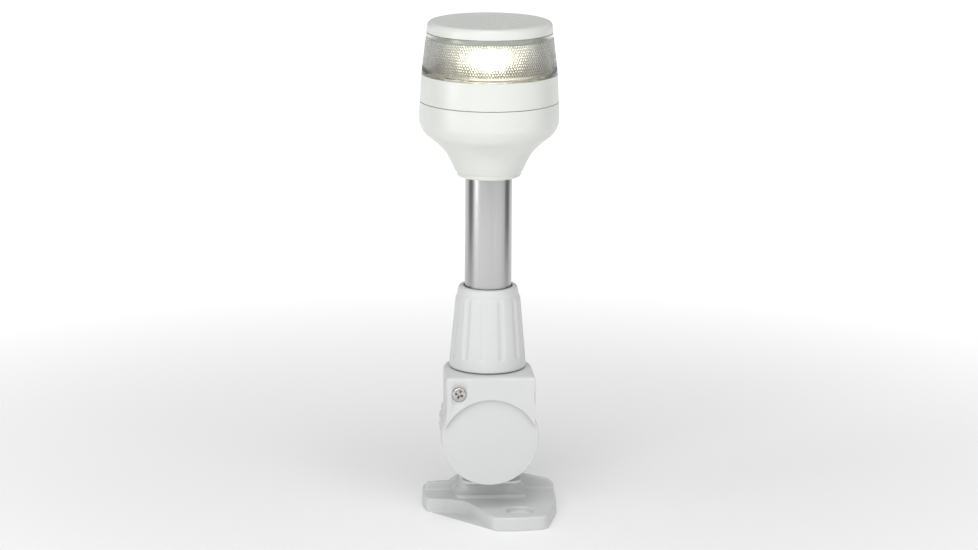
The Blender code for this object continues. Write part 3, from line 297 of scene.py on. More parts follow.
# ================================================================ mesh helpers
def rounded(corners, closed=True, steps=8):
    """Points along straight runs with a fillet at each corner; a corner is (x, y, fillet radius)."""
    points = []
    count = len(corners)
    for index, (x, y, radius) in enumerate(corners):
        corner = Vector((x, y))
        if radius == 0 or (not closed and index in (0, count - 1)):
            points.append(corner)
            continue
        back = Vector(corners[index - 1][:2]) - corner
        ahead = Vector(corners[(index + 1) % count][:2]) - corner
        half = back.angle(ahead) / 2
        reach = min(radius / math.tan(half), 0.48 * back.length, 0.98 * ahead.length)
        turn = reach * math.tan(half)
        centre = corner + (back.normalized() + ahead.normalized()).normalized() * turn / math.sin(half)
        first = corner + back.normalized() * reach - centre
        last = corner + ahead.normalized() * reach - centre
        start = math.atan2(first.y, first.x)
        sweep = (math.atan2(last.y, last.x) - start + math.pi) % (2 * math.pi) - math.pi
        for step in range(steps + 1):
            angle = start + sweep * step / steps
            points.append(centre + turn * Vector((math.cos(angle), math.sin(angle))))
    return points


def smooth_line(points, steps):
    """Points along one smooth curve through tuples of any length."""
    padded = [points[0], *points, points[-1]]
    line = []
    for a, b, c, d in zip(padded, padded[1:], padded[2:], padded[3:]):
        for step in range(steps):
            t = step / steps
            line.append(tuple(
                0.5 * (2 * q + (r - p) * t + (2 * p - 5 * q + 4 * r - s) * t**2
                       + (3 * q - p - 3 * r + s) * t**3)
                for p, q, r, s in zip(a, b, c, d)))
    line.append(points[-1])
    return line


def stitch(bm, first, second):
    """Faces between two closed rings of points, either of which may be a single point."""
    count = max(len(first), len(second))
    for index in range(count):
        after = (index + 1) % count
        corners = [first[index % len(first)], first[after % len(first)],
                   second[after % len(second)], second[index % len(second)]]
        corners = list(dict.fromkeys(corners))
        if len(corners) > 2:
            bm.faces.new(corners)


def finished_mesh(name, bm, sharp=40, transform=None):
    """A scene object from the mesh, with smooth faces and its real edges kept sharp."""
    bmesh.ops.recalc_face_normals(bm, faces=bm.faces)
    mesh = bpy.data.meshes.new(name)
    bm.to_mesh(mesh)
    bm.free()
    if transform:
        mesh.transform(transform)
    mesh.shade_smooth()
    mesh.set_sharp_from_angle(angle=math.radians(sharp))
    made = bpy.data.objects.new(name, mesh)
    bpy.context.scene.collection.objects.link(made)
    return made


def turned(name, profile, facets=ROUND, closed=True, shape=None, transform=None, sharp=40):
    """A turned piece from its (radius, height) profile; shape gives the radius where it isn't round."""
    bm = bmesh.new()
    rings = []
    for radius, height in profile:
        count = facets if radius > 1e-6 else 1
        ring = []
        for step in range(count):
            angle = 2 * math.pi * step / facets
            reach = shape(angle, radius, height) if shape else radius
            ring.append(bm.verts.new((reach * math.cos(angle), reach * math.sin(angle), height)))
        rings.append(ring)
    for first, second in zip(rings, rings[1:]):
        stitch(bm, first, second)
    if closed:
        stitch(bm, rings[-1], rings[0])
    return finished_mesh(name, bm, sharp, transform)


def inset(outline, amount):
    """The counterclockwise outline moved inwards by an amount."""
    moved = []
    for before, point, after in zip([outline[-1], *outline], outline, [*outline[1:], outline[0]]):
        along = (point - before).normalized() + (after - point).normalized()
        inward = Vector((-along.y, along.x)).normalized()
        edge = (after - point).normalized()
        share = max(0.5, abs(inward.dot(Vector((-edge.y, edge.x)))))
        moved.append(point + inward * amount / share)
    return moved


def slab_mesh(outline, low, high, low_edge, high_edge, steps=6, in_strips=False):
    """A flat outline made solid between two heights, with rounded rims. An outline whose first half runs
    under its second half can have its faces laid in strips between the two."""
    layers = []
    for step in range(steps + 1) if low_edge else (steps,):
        angle = math.pi / 2 * step / steps
        layers.append((low_edge * (1 - math.sin(angle)), low + low_edge * (1 - math.cos(angle))))
    for step in range(steps + 1) if high_edge else (0,):
        angle = math.pi / 2 * step / steps
        layers.append((high_edge * (1 - math.cos(angle)), high - high_edge * (1 - math.sin(angle))))
    if low_edge:
        layers.insert(0, (low_edge + CAP_MARGIN, low))
    if high_edge:
        layers.append((high_edge + CAP_MARGIN, high))
    bm = bmesh.new()
    rings = [[bm.verts.new((point.x, point.y, height)) for point in inset(outline, amount)]
             for amount, height in layers]
    for first, second in zip(rings, rings[1:]):
        stitch(bm, first, second)
    if in_strips:
        for ring in (rings[0], rings[-1]):
            under, over = ring[:len(ring) // 2], ring[len(ring) // 2:][::-1]
            for a, b, c, d in zip(under, under[1:], over[1:], over):
                bm.faces.new((a, b, c, d))
        return bm
    caps = [bm.faces.new(rings[0]), bm.faces.new(rings[-1])]
    bmesh.ops.triangulate(bm, faces=caps, ngon_method="EAR_CLIP")
    return bm


def slab(name, outline, low, high, low_edge, high_edge, transform=None):
    return finished_mesh(name, slab_mesh(outline, low, high, low_edge, high_edge), 40, transform)


def arc(radius, start, end, steps, centre=(0, 0)):
    """Points round part of a circle, from one angle to another."""
    angles = [start + (end - start) * step / steps for step in range(steps + 1)]
    return [Vector((centre[0] + radius * math.cos(angle), centre[1] + radius * math.sin(angle)))
            for angle in angles]


def circle(radius, centre=(0, 0), facets=SMALL_ROUND):
    return arc(radius, 0, 2 * math.pi, facets, centre)[:-1]


def rectangle(half_long, half_wide, corner, steps=8):
    """A rectangle round the origin with rounded corners."""
    return rounded([(-half_long, -half_wide, corner), (half_long, -half_wide, corner),
                    (half_long, half_wide, corner), (-half_long, half_wide, corner)], steps=steps)


def cut(piece, cutter):
    """Takes the cutter's shape out of the piece and removes the cutter."""
    modifier = piece.modifiers.new("Cut", "BOOLEAN")
    modifier.operation = "DIFFERENCE"
    modifier.object = cutter
    modifier.solver = "EXACT"
    return settle(piece, cutter)


def settle(piece, *helpers):
    """Applies the piece's modifiers and removes its helpers."""
    graph = bpy.context.evaluated_depsgraph_get()
    mesh = bpy.data.meshes.new_from_object(piece.evaluated_get(graph))
    piece.modifiers.clear()
    piece.data = mesh
    for helper in helpers:
        bpy.data.objects.remove(helper)
    if not mesh.polygons:
        raise RuntimeError(f"{piece.name} came out empty")
    return piece


def moulded_together(name, shapes, voxel, smoothing):
    """Closed shapes fused into one moulding, with soft fillets where they meet."""
    bm = bmesh.new()
    for shape in shapes:
        bm.from_mesh(shape.data)
    fused = finished_mesh(name, bm)
    for shape in shapes:
        bpy.data.objects.remove(shape)
    remesh = fused.modifiers.new("Fuse", "REMESH")
    remesh.mode = "VOXEL"
    remesh.voxel_size = voxel
    remesh.use_smooth_shade = True
    soften = fused.modifiers.new("Soften", "SMOOTH")
    soften.factor = 0.5
    soften.iterations = smoothing
    return settle(fused)


def place(piece, body, material, slot, *nodes):
    """Gives a piece its finish, rides it on its body and lets it stand for its CAD nodes."""
    if not piece.data.materials:
        piece.data.materials.append(material)
    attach(piece, body)
    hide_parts(*nodes)
    return piece


def refinish(material, *nodes):
    """Gives CAD nodes that stay as they are a finer material."""
    for name in nodes:
        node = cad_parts[name]
        node.data.materials.clear()
        node.data.materials.append(material)


# ================================================================ materials
def add_node(tree, kind, settings=None, inputs=None):
    """Adds one shader node; an input given a socket is linked, and any other value is set on it."""
    made = tree.nodes.new(kind)
    for name, value in (settings or {}).items():
        setattr(made, name, value)
    for name, value in (inputs or {}).items():
        if isinstance(value, bpy.types.NodeSocket):
            tree.links.new(value, made.inputs[name])
        else:
            made.inputs[name].default_value = value
    return made


def new_material(name):
    """A cleared material, new or made before under this name, its node tree and the place that its
    patterns are read at, in metres from the origin of the piece that wears it."""
    made = bpy.data.materials.get(name) or bpy.data.materials.new(name)
    made.use_nodes = True
    tree = made.node_tree
    tree.nodes.clear()
    return made, tree, add_node(tree, "ShaderNodeTexCoord").outputs["Object"]


def finish_shader(tree, inputs):
    shader = add_node(tree, "ShaderNodeBsdfPrincipled", inputs=inputs)
    add_node(tree, "ShaderNodeOutputMaterial", inputs={"Surface": shader.outputs["BSDF"]})
    return shader


def moulded_plastic(name, colour, roughness, texture, relief, subsurface):
    """A moulded white plastic. Its broad tone drifts a little with the wall's thickness, and the
    mould's spark texture breaks the gloss into a soft sheen."""
    made, tree, where = new_material(name)
    drift = add_node(tree, "ShaderNodeTexNoise", inputs={"Vector": where, "Scale": 1 / 0.030,
                                                         "Detail": 2.0})
    spark = add_node(tree, "ShaderNodeTexNoise", inputs={"Vector": where, "Scale": 1 / texture,
                                                         "Detail": 3.0, "Roughness": 0.6})
    shade = add_node(tree, "ShaderNodeMix", {"data_type": "RGBA"}, {
        "Factor": drift.outputs["Fac"], "A": (*[v * 0.955 for v in colour], 1), "B": (*colour, 1)})
    gloss = add_node(tree, "ShaderNodeMapRange", inputs={
        "Value": spark.outputs["Fac"], "From Min": 0.3, "From Max": 0.7,
        "To Min": roughness - 0.05, "To Max": roughness + 0.06})
    grain = add_node(tree, "ShaderNodeBump", inputs={
        "Height": spark.outputs["Fac"], "Distance": relief, "Strength": 0.5})
    finish_shader(tree, {
        "Base Color": shade.outputs["Result"], "Roughness": gloss.outputs["Result"],
        "Normal": grain.outputs["Normal"], "IOR": 1.53, "Subsurface Weight": subsurface,
        "Subsurface Radius": (0.0012, 0.0011, 0.0010), "Subsurface Scale": 1.0})
    return made


def moulded_asa(finishes):
    """UV-proof ASA, injection moulded in a polished mould: an even white with a soft, broad shine."""
    return moulded_plastic("Moulded ASA, white", finishes.housing, 0.30, 0.0005, 0.000004, 0.10)


def moulded_nylon(finishes):
    """Glass-filled nylon from a spark-eroded mould: a cooler, duller white with a fine pebble.
    The real pebble is about 0.1 mm and is drawn at 0.4 mm so that it shows."""
    return moulded_plastic("Moulded nylon, white", finishes.nylon, 0.42, 0.0004, 0.000010, 0.05)


def natural_nylon(finishes):
    """Unfilled natural nylon, machined: waxy and slightly yellow."""
    return moulded_plastic("Machined nylon, natural", finishes.natural_nylon, 0.45, 0.0008, 0.000006, 0.1)


def clear_acrylic(finishes):
    """Clear acrylic, injection moulded and glossy: bends what is behind it, and is faintly warm
    where light runs far through it. The grooves between its prisms throw light aside, so they
    look grey; that grey is painted shade, darker by how deep each point lies in a groove, as the mesh marks
    it."""
    made, tree, where = new_material("Moulded acrylic, clear")
    flow = add_node(tree, "ShaderNodeTexNoise", inputs={"Vector": where, "Scale": 1 / 0.006,
                                                        "Detail": 2.0})
    haze = add_node(tree, "ShaderNodeMapRange", inputs={
        "Value": flow.outputs["Fac"], "To Min": 0.03, "To Max": 0.07})
    depth = add_node(tree, "ShaderNodeAttribute", {"attribute_name": "groove"}).outputs["Fac"]
    painted_shade_share = add_node(tree, "ShaderNodeMapRange", inputs={
        "Value": depth, "From Min": 0.35, "From Max": 0.95})
    # painted shade: the lens's colour is darkened in the prism grooves, by how deep each point lies
    shade = add_node(tree, "ShaderNodeMix", {"data_type": "RGBA"}, {
        "Factor": painted_shade_share.outputs["Result"], "A": (*finishes.acrylic, 1),
        "B": (*[v * finishes.painted_groove_shade for v in finishes.acrylic], 1)})
    finish_shader(tree, {
        "Base Color": shade.outputs["Result"], "Roughness": haze.outputs["Result"],
        "IOR": 1.49, "Transmission Weight": 1.0})
    return made


def drawn_aluminium(finishes):
    """Drawn aluminium tube, satin anodised: fine die lines run along it and the highlight is soft.
    The lines are about 0.05 mm apart and are drawn at 0.35 mm so that they show."""
    made, tree, where = new_material("Drawn aluminium, satin anodised")
    stretched = add_node(tree, "ShaderNodeMapping", inputs={
        "Vector": where, "Scale": (1 / 0.00035, 1 / 0.00035, 1 / 0.050)})
    lines = add_node(tree, "ShaderNodeTexNoise", inputs={
        "Vector": stretched.outputs["Vector"], "Scale": 1.0, "Detail": 3.0})
    gloss = add_node(tree, "ShaderNodeMapRange", inputs={
        "Value": lines.outputs["Fac"], "From Min": 0.3, "From Max": 0.7,
        "To Min": 0.26, "To Max": 0.36})
    groove = add_node(tree, "ShaderNodeBump", inputs={
        "Height": lines.outputs["Fac"], "Distance": 0.000006, "Strength": 0.6})
    finish_shader(tree, {
        "Base Color": (*finishes.aluminium, 1), "Metallic": 1.0,
        "Roughness": gloss.outputs["Result"], "Normal": groove.outputs["Normal"]})
    return made


def turned_metal(name, colour, roughness, line_pitch):
    """A machined metal with fine tool marks, which scatter the light a little unevenly."""
    made, tree, where = new_material(name)
    marks = add_node(tree, "ShaderNodeTexNoise", inputs={
        "Vector": where, "Scale": 1 / line_pitch, "Detail": 4.0, "Roughness": 0.65})
    gloss = add_node(tree, "ShaderNodeMapRange", inputs={
        "Value": marks.outputs["Fac"], "From Min": 0.3, "From Max": 0.7,
        "To Min": roughness - 0.06, "To Max": roughness + 0.08})
    grain = add_node(tree, "ShaderNodeBump", inputs={
        "Height": marks.outputs["Fac"], "Distance": 0.000008, "Strength": 0.5})
    finish_shader(tree, {
        "Base Color": (*colour, 1), "Metallic": 1.0,
        "Roughness": gloss.outputs["Result"], "Normal": grain.outputs["Normal"]})
    return made


def stainless_steel(finishes):
    """Stainless steel, cold headed and passivated: a bright grey with soft tool marks."""
    return turned_metal("Cold-headed stainless steel", finishes.stainless, 0.28, 0.0006)


def turned_brass(finishes):
    """Free-cutting brass, turned: warm and fairly glossy."""
    return turned_metal("Turned brass", finishes.brass, 0.26, 0.0005)


def cast_aluminium(finishes):
    """Die-cast aluminium of the heat sink, left as cast: a grainy, dull grey."""
    return turned_metal("Die-cast aluminium", finishes.aluminium, 0.46, 0.0009)


def moulded_rubber(finishes):
    """Moulded nitrile rubber: nearly black, matt, with a dusty grain."""
    made, tree, where = new_material("Moulded rubber, black")
    bloom = add_node(tree, "ShaderNodeTexNoise", inputs={"Vector": where, "Scale": 1 / 0.0007,
                                                         "Detail": 4.0})
    shade = add_node(tree, "ShaderNodeMix", {"data_type": "RGBA"}, {
        "Factor": bloom.outputs["Fac"], "A": (*finishes.rubber, 1),
        "B": (*[v * 2.2 for v in finishes.rubber], 1)})
    grain = add_node(tree, "ShaderNodeBump", inputs={
        "Height": bloom.outputs["Fac"], "Distance": 0.00002, "Strength": 0.5})
    finish_shader(tree, {"Base Color": shade.outputs["Result"], "Roughness": 0.68, "IOR": 1.52,
                         "Normal": grain.outputs["Normal"]})
    return made


def moulded_silicone(finishes):
    """Natural silicone rubber, moulded: milky and soft looking, with a faint dusty sheen."""
    made, tree, where = new_material("Moulded silicone, natural")
    dust = add_node(tree, "ShaderNodeTexNoise", inputs={"Vector": where, "Scale": 1 / 0.0015})
    bloom = add_node(tree, "ShaderNodeMapRange", inputs={
        "Value": dust.outputs["Fac"], "To Min": 0.40, "To Max": 0.60})
    finish_shader(tree, {
        "Base Color": (*finishes.silicone, 1), "Roughness": bloom.outputs["Result"], "IOR": 1.41,
        "Subsurface Weight": 0.2, "Subsurface Radius": (1, 1, 1), "Subsurface Scale": 0.001})
    return made


def circuit_board(finishes):
    """Printed circuit board under white solder mask: glossy, with the copper's edges just showing."""
    made, tree, where = new_material("Circuit board, white solder mask")
    copper = add_node(tree, "ShaderNodeTexVoronoi", {"feature": "DISTANCE_TO_EDGE",
                                                     "distance": "EUCLIDEAN"},
                      {"Vector": where, "Scale": 1 / 0.0035})
    edge = add_node(tree, "ShaderNodeMapRange", inputs={
        "Value": copper.outputs["Distance"], "From Max": 0.12})
    shade = add_node(tree, "ShaderNodeMix", {"data_type": "RGBA"}, {
        "Factor": edge.outputs["Result"], "A": (*[v * 0.72 for v in finishes.board], 1),
        "B": (*finishes.board, 1)})
    finish_shader(tree, {"Base Color": shade.outputs["Result"], "Roughness": 0.30, "IOR": 1.55})
    return made


def led_phosphor(finishes):
    """Phosphor in silicone over the LED's die, lit: it glows a warm white."""
    made, tree, where = new_material("LED phosphor, lit")
    powder = add_node(tree, "ShaderNodeTexNoise", inputs={"Vector": where, "Scale": 1 / 0.0003})
    shade = add_node(tree, "ShaderNodeMix", {"data_type": "RGBA"}, {
        "Factor": powder.outputs["Fac"], "A": (*linear("F2D98A"), 1), "B": (*linear("FBEBB4"), 1)})
    finish_shader(tree, {"Base Color": shade.outputs["Result"], "Roughness": 0.35, "IOR": 1.41,
                         "Emission Color": (*finishes.glow, 1),
                         "Emission Strength": finishes.glow_strength})
    return made


def led_ceramic(finishes):
    """Fired white ceramic of the LED's package: matt and clean."""
    return moulded_plastic("Fired ceramic, white", finishes.board, 0.50, 0.0003, 0.000003, 0.0)


def pressed_ferrite(finishes):
    """Pressed ferrite of the inductor: charcoal grey and slightly grainy."""
    return moulded_plastic("Pressed ferrite", linear("3B3B3E"), 0.55, 0.0004, 0.00001, 0.0)


# ================================================================ the pieces
class NAVLIGHT_OT_lamp(bpy.types.Operator):
    """Build the lamp's bowl, ring and lid"""

    bl_idname = "navlight.lamp"
    bl_label = "Lamp Housing"

    def execute(self, context):
        light = context.scene.navigation_light
        sizes = light.lamp
        white = moulded_asa(light.finishes)
        self.make_bowl(sizes, white)
        self.make_ring(sizes, white)
        self.make_lid(sizes, white)
        return {"FINISHED"}

    def make_bowl(self, sizes, white):
        low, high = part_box("lamp_bowl")
        reach = radius_of("lamp_bowl")
        seam = radius_of("lamp_ring")
        bore = radius_of("pole") + GAP
        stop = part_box("pole")[1].z + GAP
        floor = stop + BOWL_FLOOR
        flare = smooth_line([(radius, low.z + height) for radius, height in BOWL_FLARE], 8)
        edge = sizes.rim_edge
        rim = rounded([(flare[-1][0], flare[-1][1], 0), (BOWL_RIM, low.z + 2 * edge, edge),
                       (BOWL_RIM, low.z, edge), (bore, low.z, edge / 2), (bore, stop, 0)], closed=False)
        inside = reach - sizes.wall
        inner = rounded([(bore, stop, 0), (LEAD_WAY, stop, 0), (LEAD_WAY, floor, 0),
                         (DRIVER_LEDGE[0], floor, 0), (DRIVER_LEDGE[0], floor + DRIVER_LEDGE[2], 0),
                         (DRIVER_LEDGE[1], floor + DRIVER_LEDGE[2], 0),
                         (DRIVER_LEDGE[1] + 0.003, floor, 0),
                         (inside - 0.005, floor + 0.001, 0.004), (inside, floor + 0.008, 0.006),
                         (inside, high.z, 0)], closed=False)
        top = rounded([(inside, high.z - 0.001, 0), (inside, high.z, sizes.seam_edge),
                       (seam, high.z, sizes.seam_edge), (*flare[1], 0)], closed=False)
        profile = [*top, *flare[2:], *rim[1:], *inner[1:-1]]
        bowl = turned("lamp_bowl_skin", profile)
        place(bowl, "mast", white, "lamp_housing", "lamp_bowl")

    def make_ring(self, sizes, white):
        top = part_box("lens")[0].z + LENS_LIP
        low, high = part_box("lamp_ring")
        seam = radius_of("lamp_ring")
        upper = radius_of("lens")
        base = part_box("lamp_bowl")[1].z + GAP
        lip = radius_of("lamp_bowl") - sizes.wall - SEAM_CLEARANCE
        lens_lip = upper - LIP_STEP - GAP
        edge = sizes.seam_edge
        shelf = base + RING_SHELF
        underside, step = shelf - RING_SHELF_DEPTH, shelf - RING_SEAL_STEP
        wall, ledge, seal = lip - RING_WALL, lip - RING_LEDGE, lens_lip - RING_SEAL_WIDTH
        profile = rounded([
            (upper, high.z, edge), (seam, base, edge), (lip, base, 0), (lip, low.z, edge),
            (wall, low.z, 0), (wall, underside, 0), (ledge, underside, 0), (ledge, step, 0),
            (seal, step, 0), (seal, shelf, 0), (lens_lip + 2 * GAP, shelf, 0),
            (lens_lip + 2 * GAP, high.z, edge / 2)])
        if top > high.z + 0.001:
            raise RuntimeError("the lens doesn't reach the lamp ring")
        place(turned("lamp_ring_skin", profile), "mast", white, "lamp_housing", "lamp_ring")

    def make_lid(self, sizes, white):
        low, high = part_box("lid")
        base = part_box("lens")[1].z + GAP
        reach = radius_of("lid")
        lip = reach - sizes.wall - SEAM_CLEARANCE
        crest = high.z - 0.0001
        dish = crest - sizes.lid_dish
        ceiling = crest - LID_THICKNESS
        flat = reach - 1.9 * sizes.lid_edge
        hollow = smooth_line([(0, dish), (flat * 0.5, dish), (flat * 0.85, dish + sizes.lid_dish * 0.25),
                              (flat, crest - sizes.lid_dish * 0.12)], 6)
        rim = rounded([(flat, crest - sizes.lid_dish * 0.12, 0),
                       (reach - 0.0004, crest, sizes.lid_edge), (reach, base, sizes.seam_edge),
                       (lip, base, 0)], closed=False, steps=14)
        under = rounded([(lip, base, 0), (lip, low.z, sizes.seam_edge),
                         (lip - LIP_WALL, low.z, sizes.seam_edge), (lip - LIP_WALL, ceiling, 0),
                         (0, ceiling, 0)], closed=False)
        lid = turned("lid_skin", [*hollow, *rim[1:], *under[1:]], closed=False)
        place(lid, "mast", white, "lamp_housing", "lid")


class NAVLIGHT_OT_lens(bpy.types.Operator):
    """Build the clear lens with its rows of small prisms"""

    bl_idname = "navlight.lens"
    bl_label = "Lens"

    def execute(self, context):
        light = context.scene.navigation_light
        sizes = light.lens
        low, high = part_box("lens")
        bottom = radius_of("lens")
        base = low.z + LENS_LIP
        top_radius = LENS_TOP_RADIUS
        slope = (top_radius - bottom) / (high.z - base)
        columns = round(2 * math.pi * (bottom + top_radius) / 2 / sizes.pitch)
        first = base + sizes.clear_ring
        last = high.z - sizes.clear_ring
        row = (last - first) / sizes.rows
        lip = bottom - LIP_STEP - GAP

        def outer_radius(height):
            return bottom + slope * (height - base)

        def prismatic(angle, radius, height):
            """The outer wall, cut back between the rounded prisms of a diamond lattice."""
            if not first < height < last or abs(radius - outer_radius(height)) > 1e-7:
                return radius
            across = angle * columns / (2 * math.pi)
            up = (height - first) / row / 2
            cells = (across + up, across - up)
            crest = math.prod(1 - abs(2 * (cell - round(cell))) ** PRISM_FLATNESS for cell in cells)
            return radius - sizes.depth * (1 - crest)

        rows = sizes.rows * PRISM_STEPS
        wall = [(outer_radius(height), height)
                for height in (last + (first - last) * step / rows for step in range(rows + 1))]
        edge = 0.0002
        inside = rounded([(*wall[-1], 0), (bottom, base, edge), (lip, base, 0), (lip, low.z, edge),
                          (lip - LIP_WALL, low.z, edge), (lip - LIP_WALL, base, 0.0004),
                          (bottom - sizes.wall, base + 0.0010, 0.0004),
                          (top_radius - sizes.wall, high.z, edge), (top_radius, high.z, edge),
                          (*wall[0], 0)], closed=False, steps=4)
        facets = columns * PRISM_STEPS
        lens = turned("lens_skin", [*wall, *inside[1:-1]], facets=facets, shape=prismatic, sharp=60)
        groove = lens.data.attributes.new("groove", "FLOAT", "POINT")
        for vertex, mark in zip(lens.data.vertices, groove.data):
            cut_back = outer_radius(vertex.co.z) - math.hypot(vertex.co.x, vertex.co.y)
            mark.value = cut_back / sizes.depth if 0 < cut_back <= 1.01 * sizes.depth else 0
        place(lens, "mast", clear_acrylic(light.finishes), "lens_acrylic", "lens")
        return {"FINISHED"}


class NAVLIGHT_OT_light_source(bpy.types.Operator):
    """Build the LEDs and finish the boards and the heat sink"""

    bl_idname = "navlight.light_source"
    bl_label = "Light Source"

    def execute(self, context):
        finishes = context.scene.navigation_light.finishes
        phosphor = led_phosphor(finishes)
        ceramic = led_ceramic(finishes)
        leds = sorted(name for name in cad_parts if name.startswith("led_") and name != "led_board")
        for name in leds:
            self.make_led(name, ceramic, phosphor)
        refinish(circuit_board(finishes), "led_board", "driver_board")
        refinish(cast_aluminium(finishes), "heat_sink", "driver_capacitor")
        refinish(pressed_ferrite(finishes), "driver_inductor")
        return {"FINISHED"}

    def make_led(self, name, ceramic, phosphor):
        """A flat ceramic strip with a long bead of phosphor on it, facing away from the axis."""
        centre = centre_of(name)
        angle = math.atan2(centre.y, centre.x)
        tall, wide, thick = half_height(name), LED_WIDTH / 2, LED_THICKNESS
        turn = Matrix.Rotation(angle, 4, "Z") @ Matrix.Rotation(math.pi / 2, 4, "Y")
        seat = Matrix.Translation(centre) @ turn @ Matrix.Translation((0, 0, -thick / 2))
        corner = 0.0003
        body = slab(name + "_package", rectangle(tall, wide, corner), 0, thick * 0.5, 0.0001, 0.0001, seat)
        margin = 0.0003
        long, broad = tall - margin, wide - margin
        glow = slab(name + "_phosphor", rectangle(long, broad, broad), thick * 0.5 + margin / 10, thick,
                    0.0001, thick * 0.4, seat)
        place(body, "mast", ceramic, "board", name)
        place(glow, "mast", phosphor, "led", name)


class NAVLIGHT_OT_pole(bpy.types.Operator):
    """Build the aluminium pole"""

    bl_idname = "navlight.pole"
    bl_label = "Pole"

    def execute(self, context):
        finishes = context.scene.navigation_light.finishes
        low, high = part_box("pole")
        reach = radius_of("pole")
        inside = reach - POLE_WALL
        edge = 0.0003
        profile = rounded([(reach, high.z, edge), (reach, low.z, edge),
                           (inside, low.z, edge), (inside, high.z, edge)], steps=4)
        pole = turned("pole_tube", profile)
        place(pole, "mast", drawn_aluminium(finishes), "pole_aluminium", "pole")
        return {"FINISHED"}


class NAVLIGHT_OT_sleeve(bpy.types.Operator):
    """Build the fluted sleeve nut and the threaded socket under it"""

    bl_idname = "navlight.sleeve"
    bl_label = "Sleeve Nut"

    def execute(self, context):
        light = context.scene.navigation_light
        white = moulded_nylon(light.finishes)
        self.make_collar(light.sleeve, white)
        self.make_socket(light.sleeve, white)
        return {"FINISHED"}

    def make_collar(self, sizes, white):
        low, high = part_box("collar_nut")
        foot, top = low.z, high.z
        reach = radius_of("collar_nut")
        head, neck = COLLAR_TOP_RADIUS, COLLAR_NECK_RADIUS
        bore = radius_of("pole") + GAP
        thread = SOCKET_RADIUS + 0.0006
        inner_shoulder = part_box("slip_ring")[1].z + GAP
        seal_low, seal_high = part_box("pole_seal")[0].z - GAP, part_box("pole_seal")[1].z + GAP
        seal_reach = radius_of("pole_seal") + GAP
        ring_reach = radius_of("slip_ring") + GAP
        length = sizes.flute_high - sizes.flute_low

        def fluted(angle, radius, height):
            """The tapered wall, hollowed by shallow flutes with scooped ends."""
            rise = height - foot - sizes.flute_low
            if radius < head - 0.0005 or not 0 < rise < length:
                return radius
            pitch = 2 * math.pi / sizes.flutes
            off = (angle - sizes.flute_phase + pitch / 2) % pitch - pitch / 2
            across = off * radius / (sizes.flute_width / 2)
            end = min(rise, length - rise) / FLUTE_END
            fade = min(1.0, math.sqrt(max(0.0, end * (2 - end)))) if end < 1 else 1.0
            return radius - sizes.flute_depth * fade * max(0.0, 1 - across**2)

        walls = 72
        shoulder = top - COLLAR_SHOULDER
        hem_top = foot + COLLAR_HEM
        taper = [(head + (reach - head) * step / walls, shoulder + (hem_top - shoulder) * step / walls)
                 for step in range(walls + 1)]
        crown = rounded([(bore + 0.0004, top, 0), (neck - 0.0008, top, 0.0018),
                         (neck, top - COLLAR_NECK[0], 0.0012), (neck, top - COLLAR_NECK[1], 0.0010),
                         (head, shoulder, 0)], closed=False)
        hem = rounded([(reach, hem_top, 0), (reach, foot, 0.0008), (thread, foot, 0.0004),
                       (thread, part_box("pole_ferrule")[0].z, 0),
                       (ring_reach, inner_shoulder - 0.001, 0), (ring_reach, inner_shoulder, 0),
                       (bore, inner_shoulder, 0),
                       (bore, seal_low, 0), (seal_reach, seal_low, 0), (seal_reach, seal_high, 0),
                       (bore, seal_high, 0), (bore + 0.0004, top, 0)], closed=False)
        collar = turned("sleeve_nut", [*crown, *taper[1:], *hem[1:-1]], facets=432, shape=fluted, sharp=35)
        place(collar, "sleeve", white, "base_nylon", "collar_nut")

    def make_socket(self, sizes, white):
        """The holder's socket with its thread, seen when the sleeve nut is undone."""
        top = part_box("holder_block")[1].z
        foot = top - SOCKET_HEIGHT
        bore = radius_of("pole") + GAP

        def threaded(angle, radius, height):
            if radius < SOCKET_RADIUS - 1e-6:
                return radius
            turn = (height - foot) / sizes.thread_pitch - angle / (2 * math.pi)
            ridge = max(0.0, 1 - 2.4 * abs(turn - round(turn)))
            fade = max(0.0, min(1.0, (top - height) / THREAD_RUNOUT - 0.5,
                                 (height - foot) / THREAD_RUNOUT))
            return radius + THREAD_RIDGE * ridge * fade

        steps = round(SOCKET_HEIGHT / sizes.thread_pitch * 12)
        start = top - 0.0005
        wall = [(SOCKET_RADIUS, start - (start - foot) * step / steps) for step in range(steps + 1)]
        profile = [(bore, top), (SOCKET_RADIUS - 0.0005, top), *wall, (SOCKET_RADIUS, foot - 0.001),
                   (bore, foot - 0.001)]
        socket = turned("threaded_socket", profile, facets=96, shape=threaded)
        place(socket, "mast", white, "base_nylon", "holder_block")


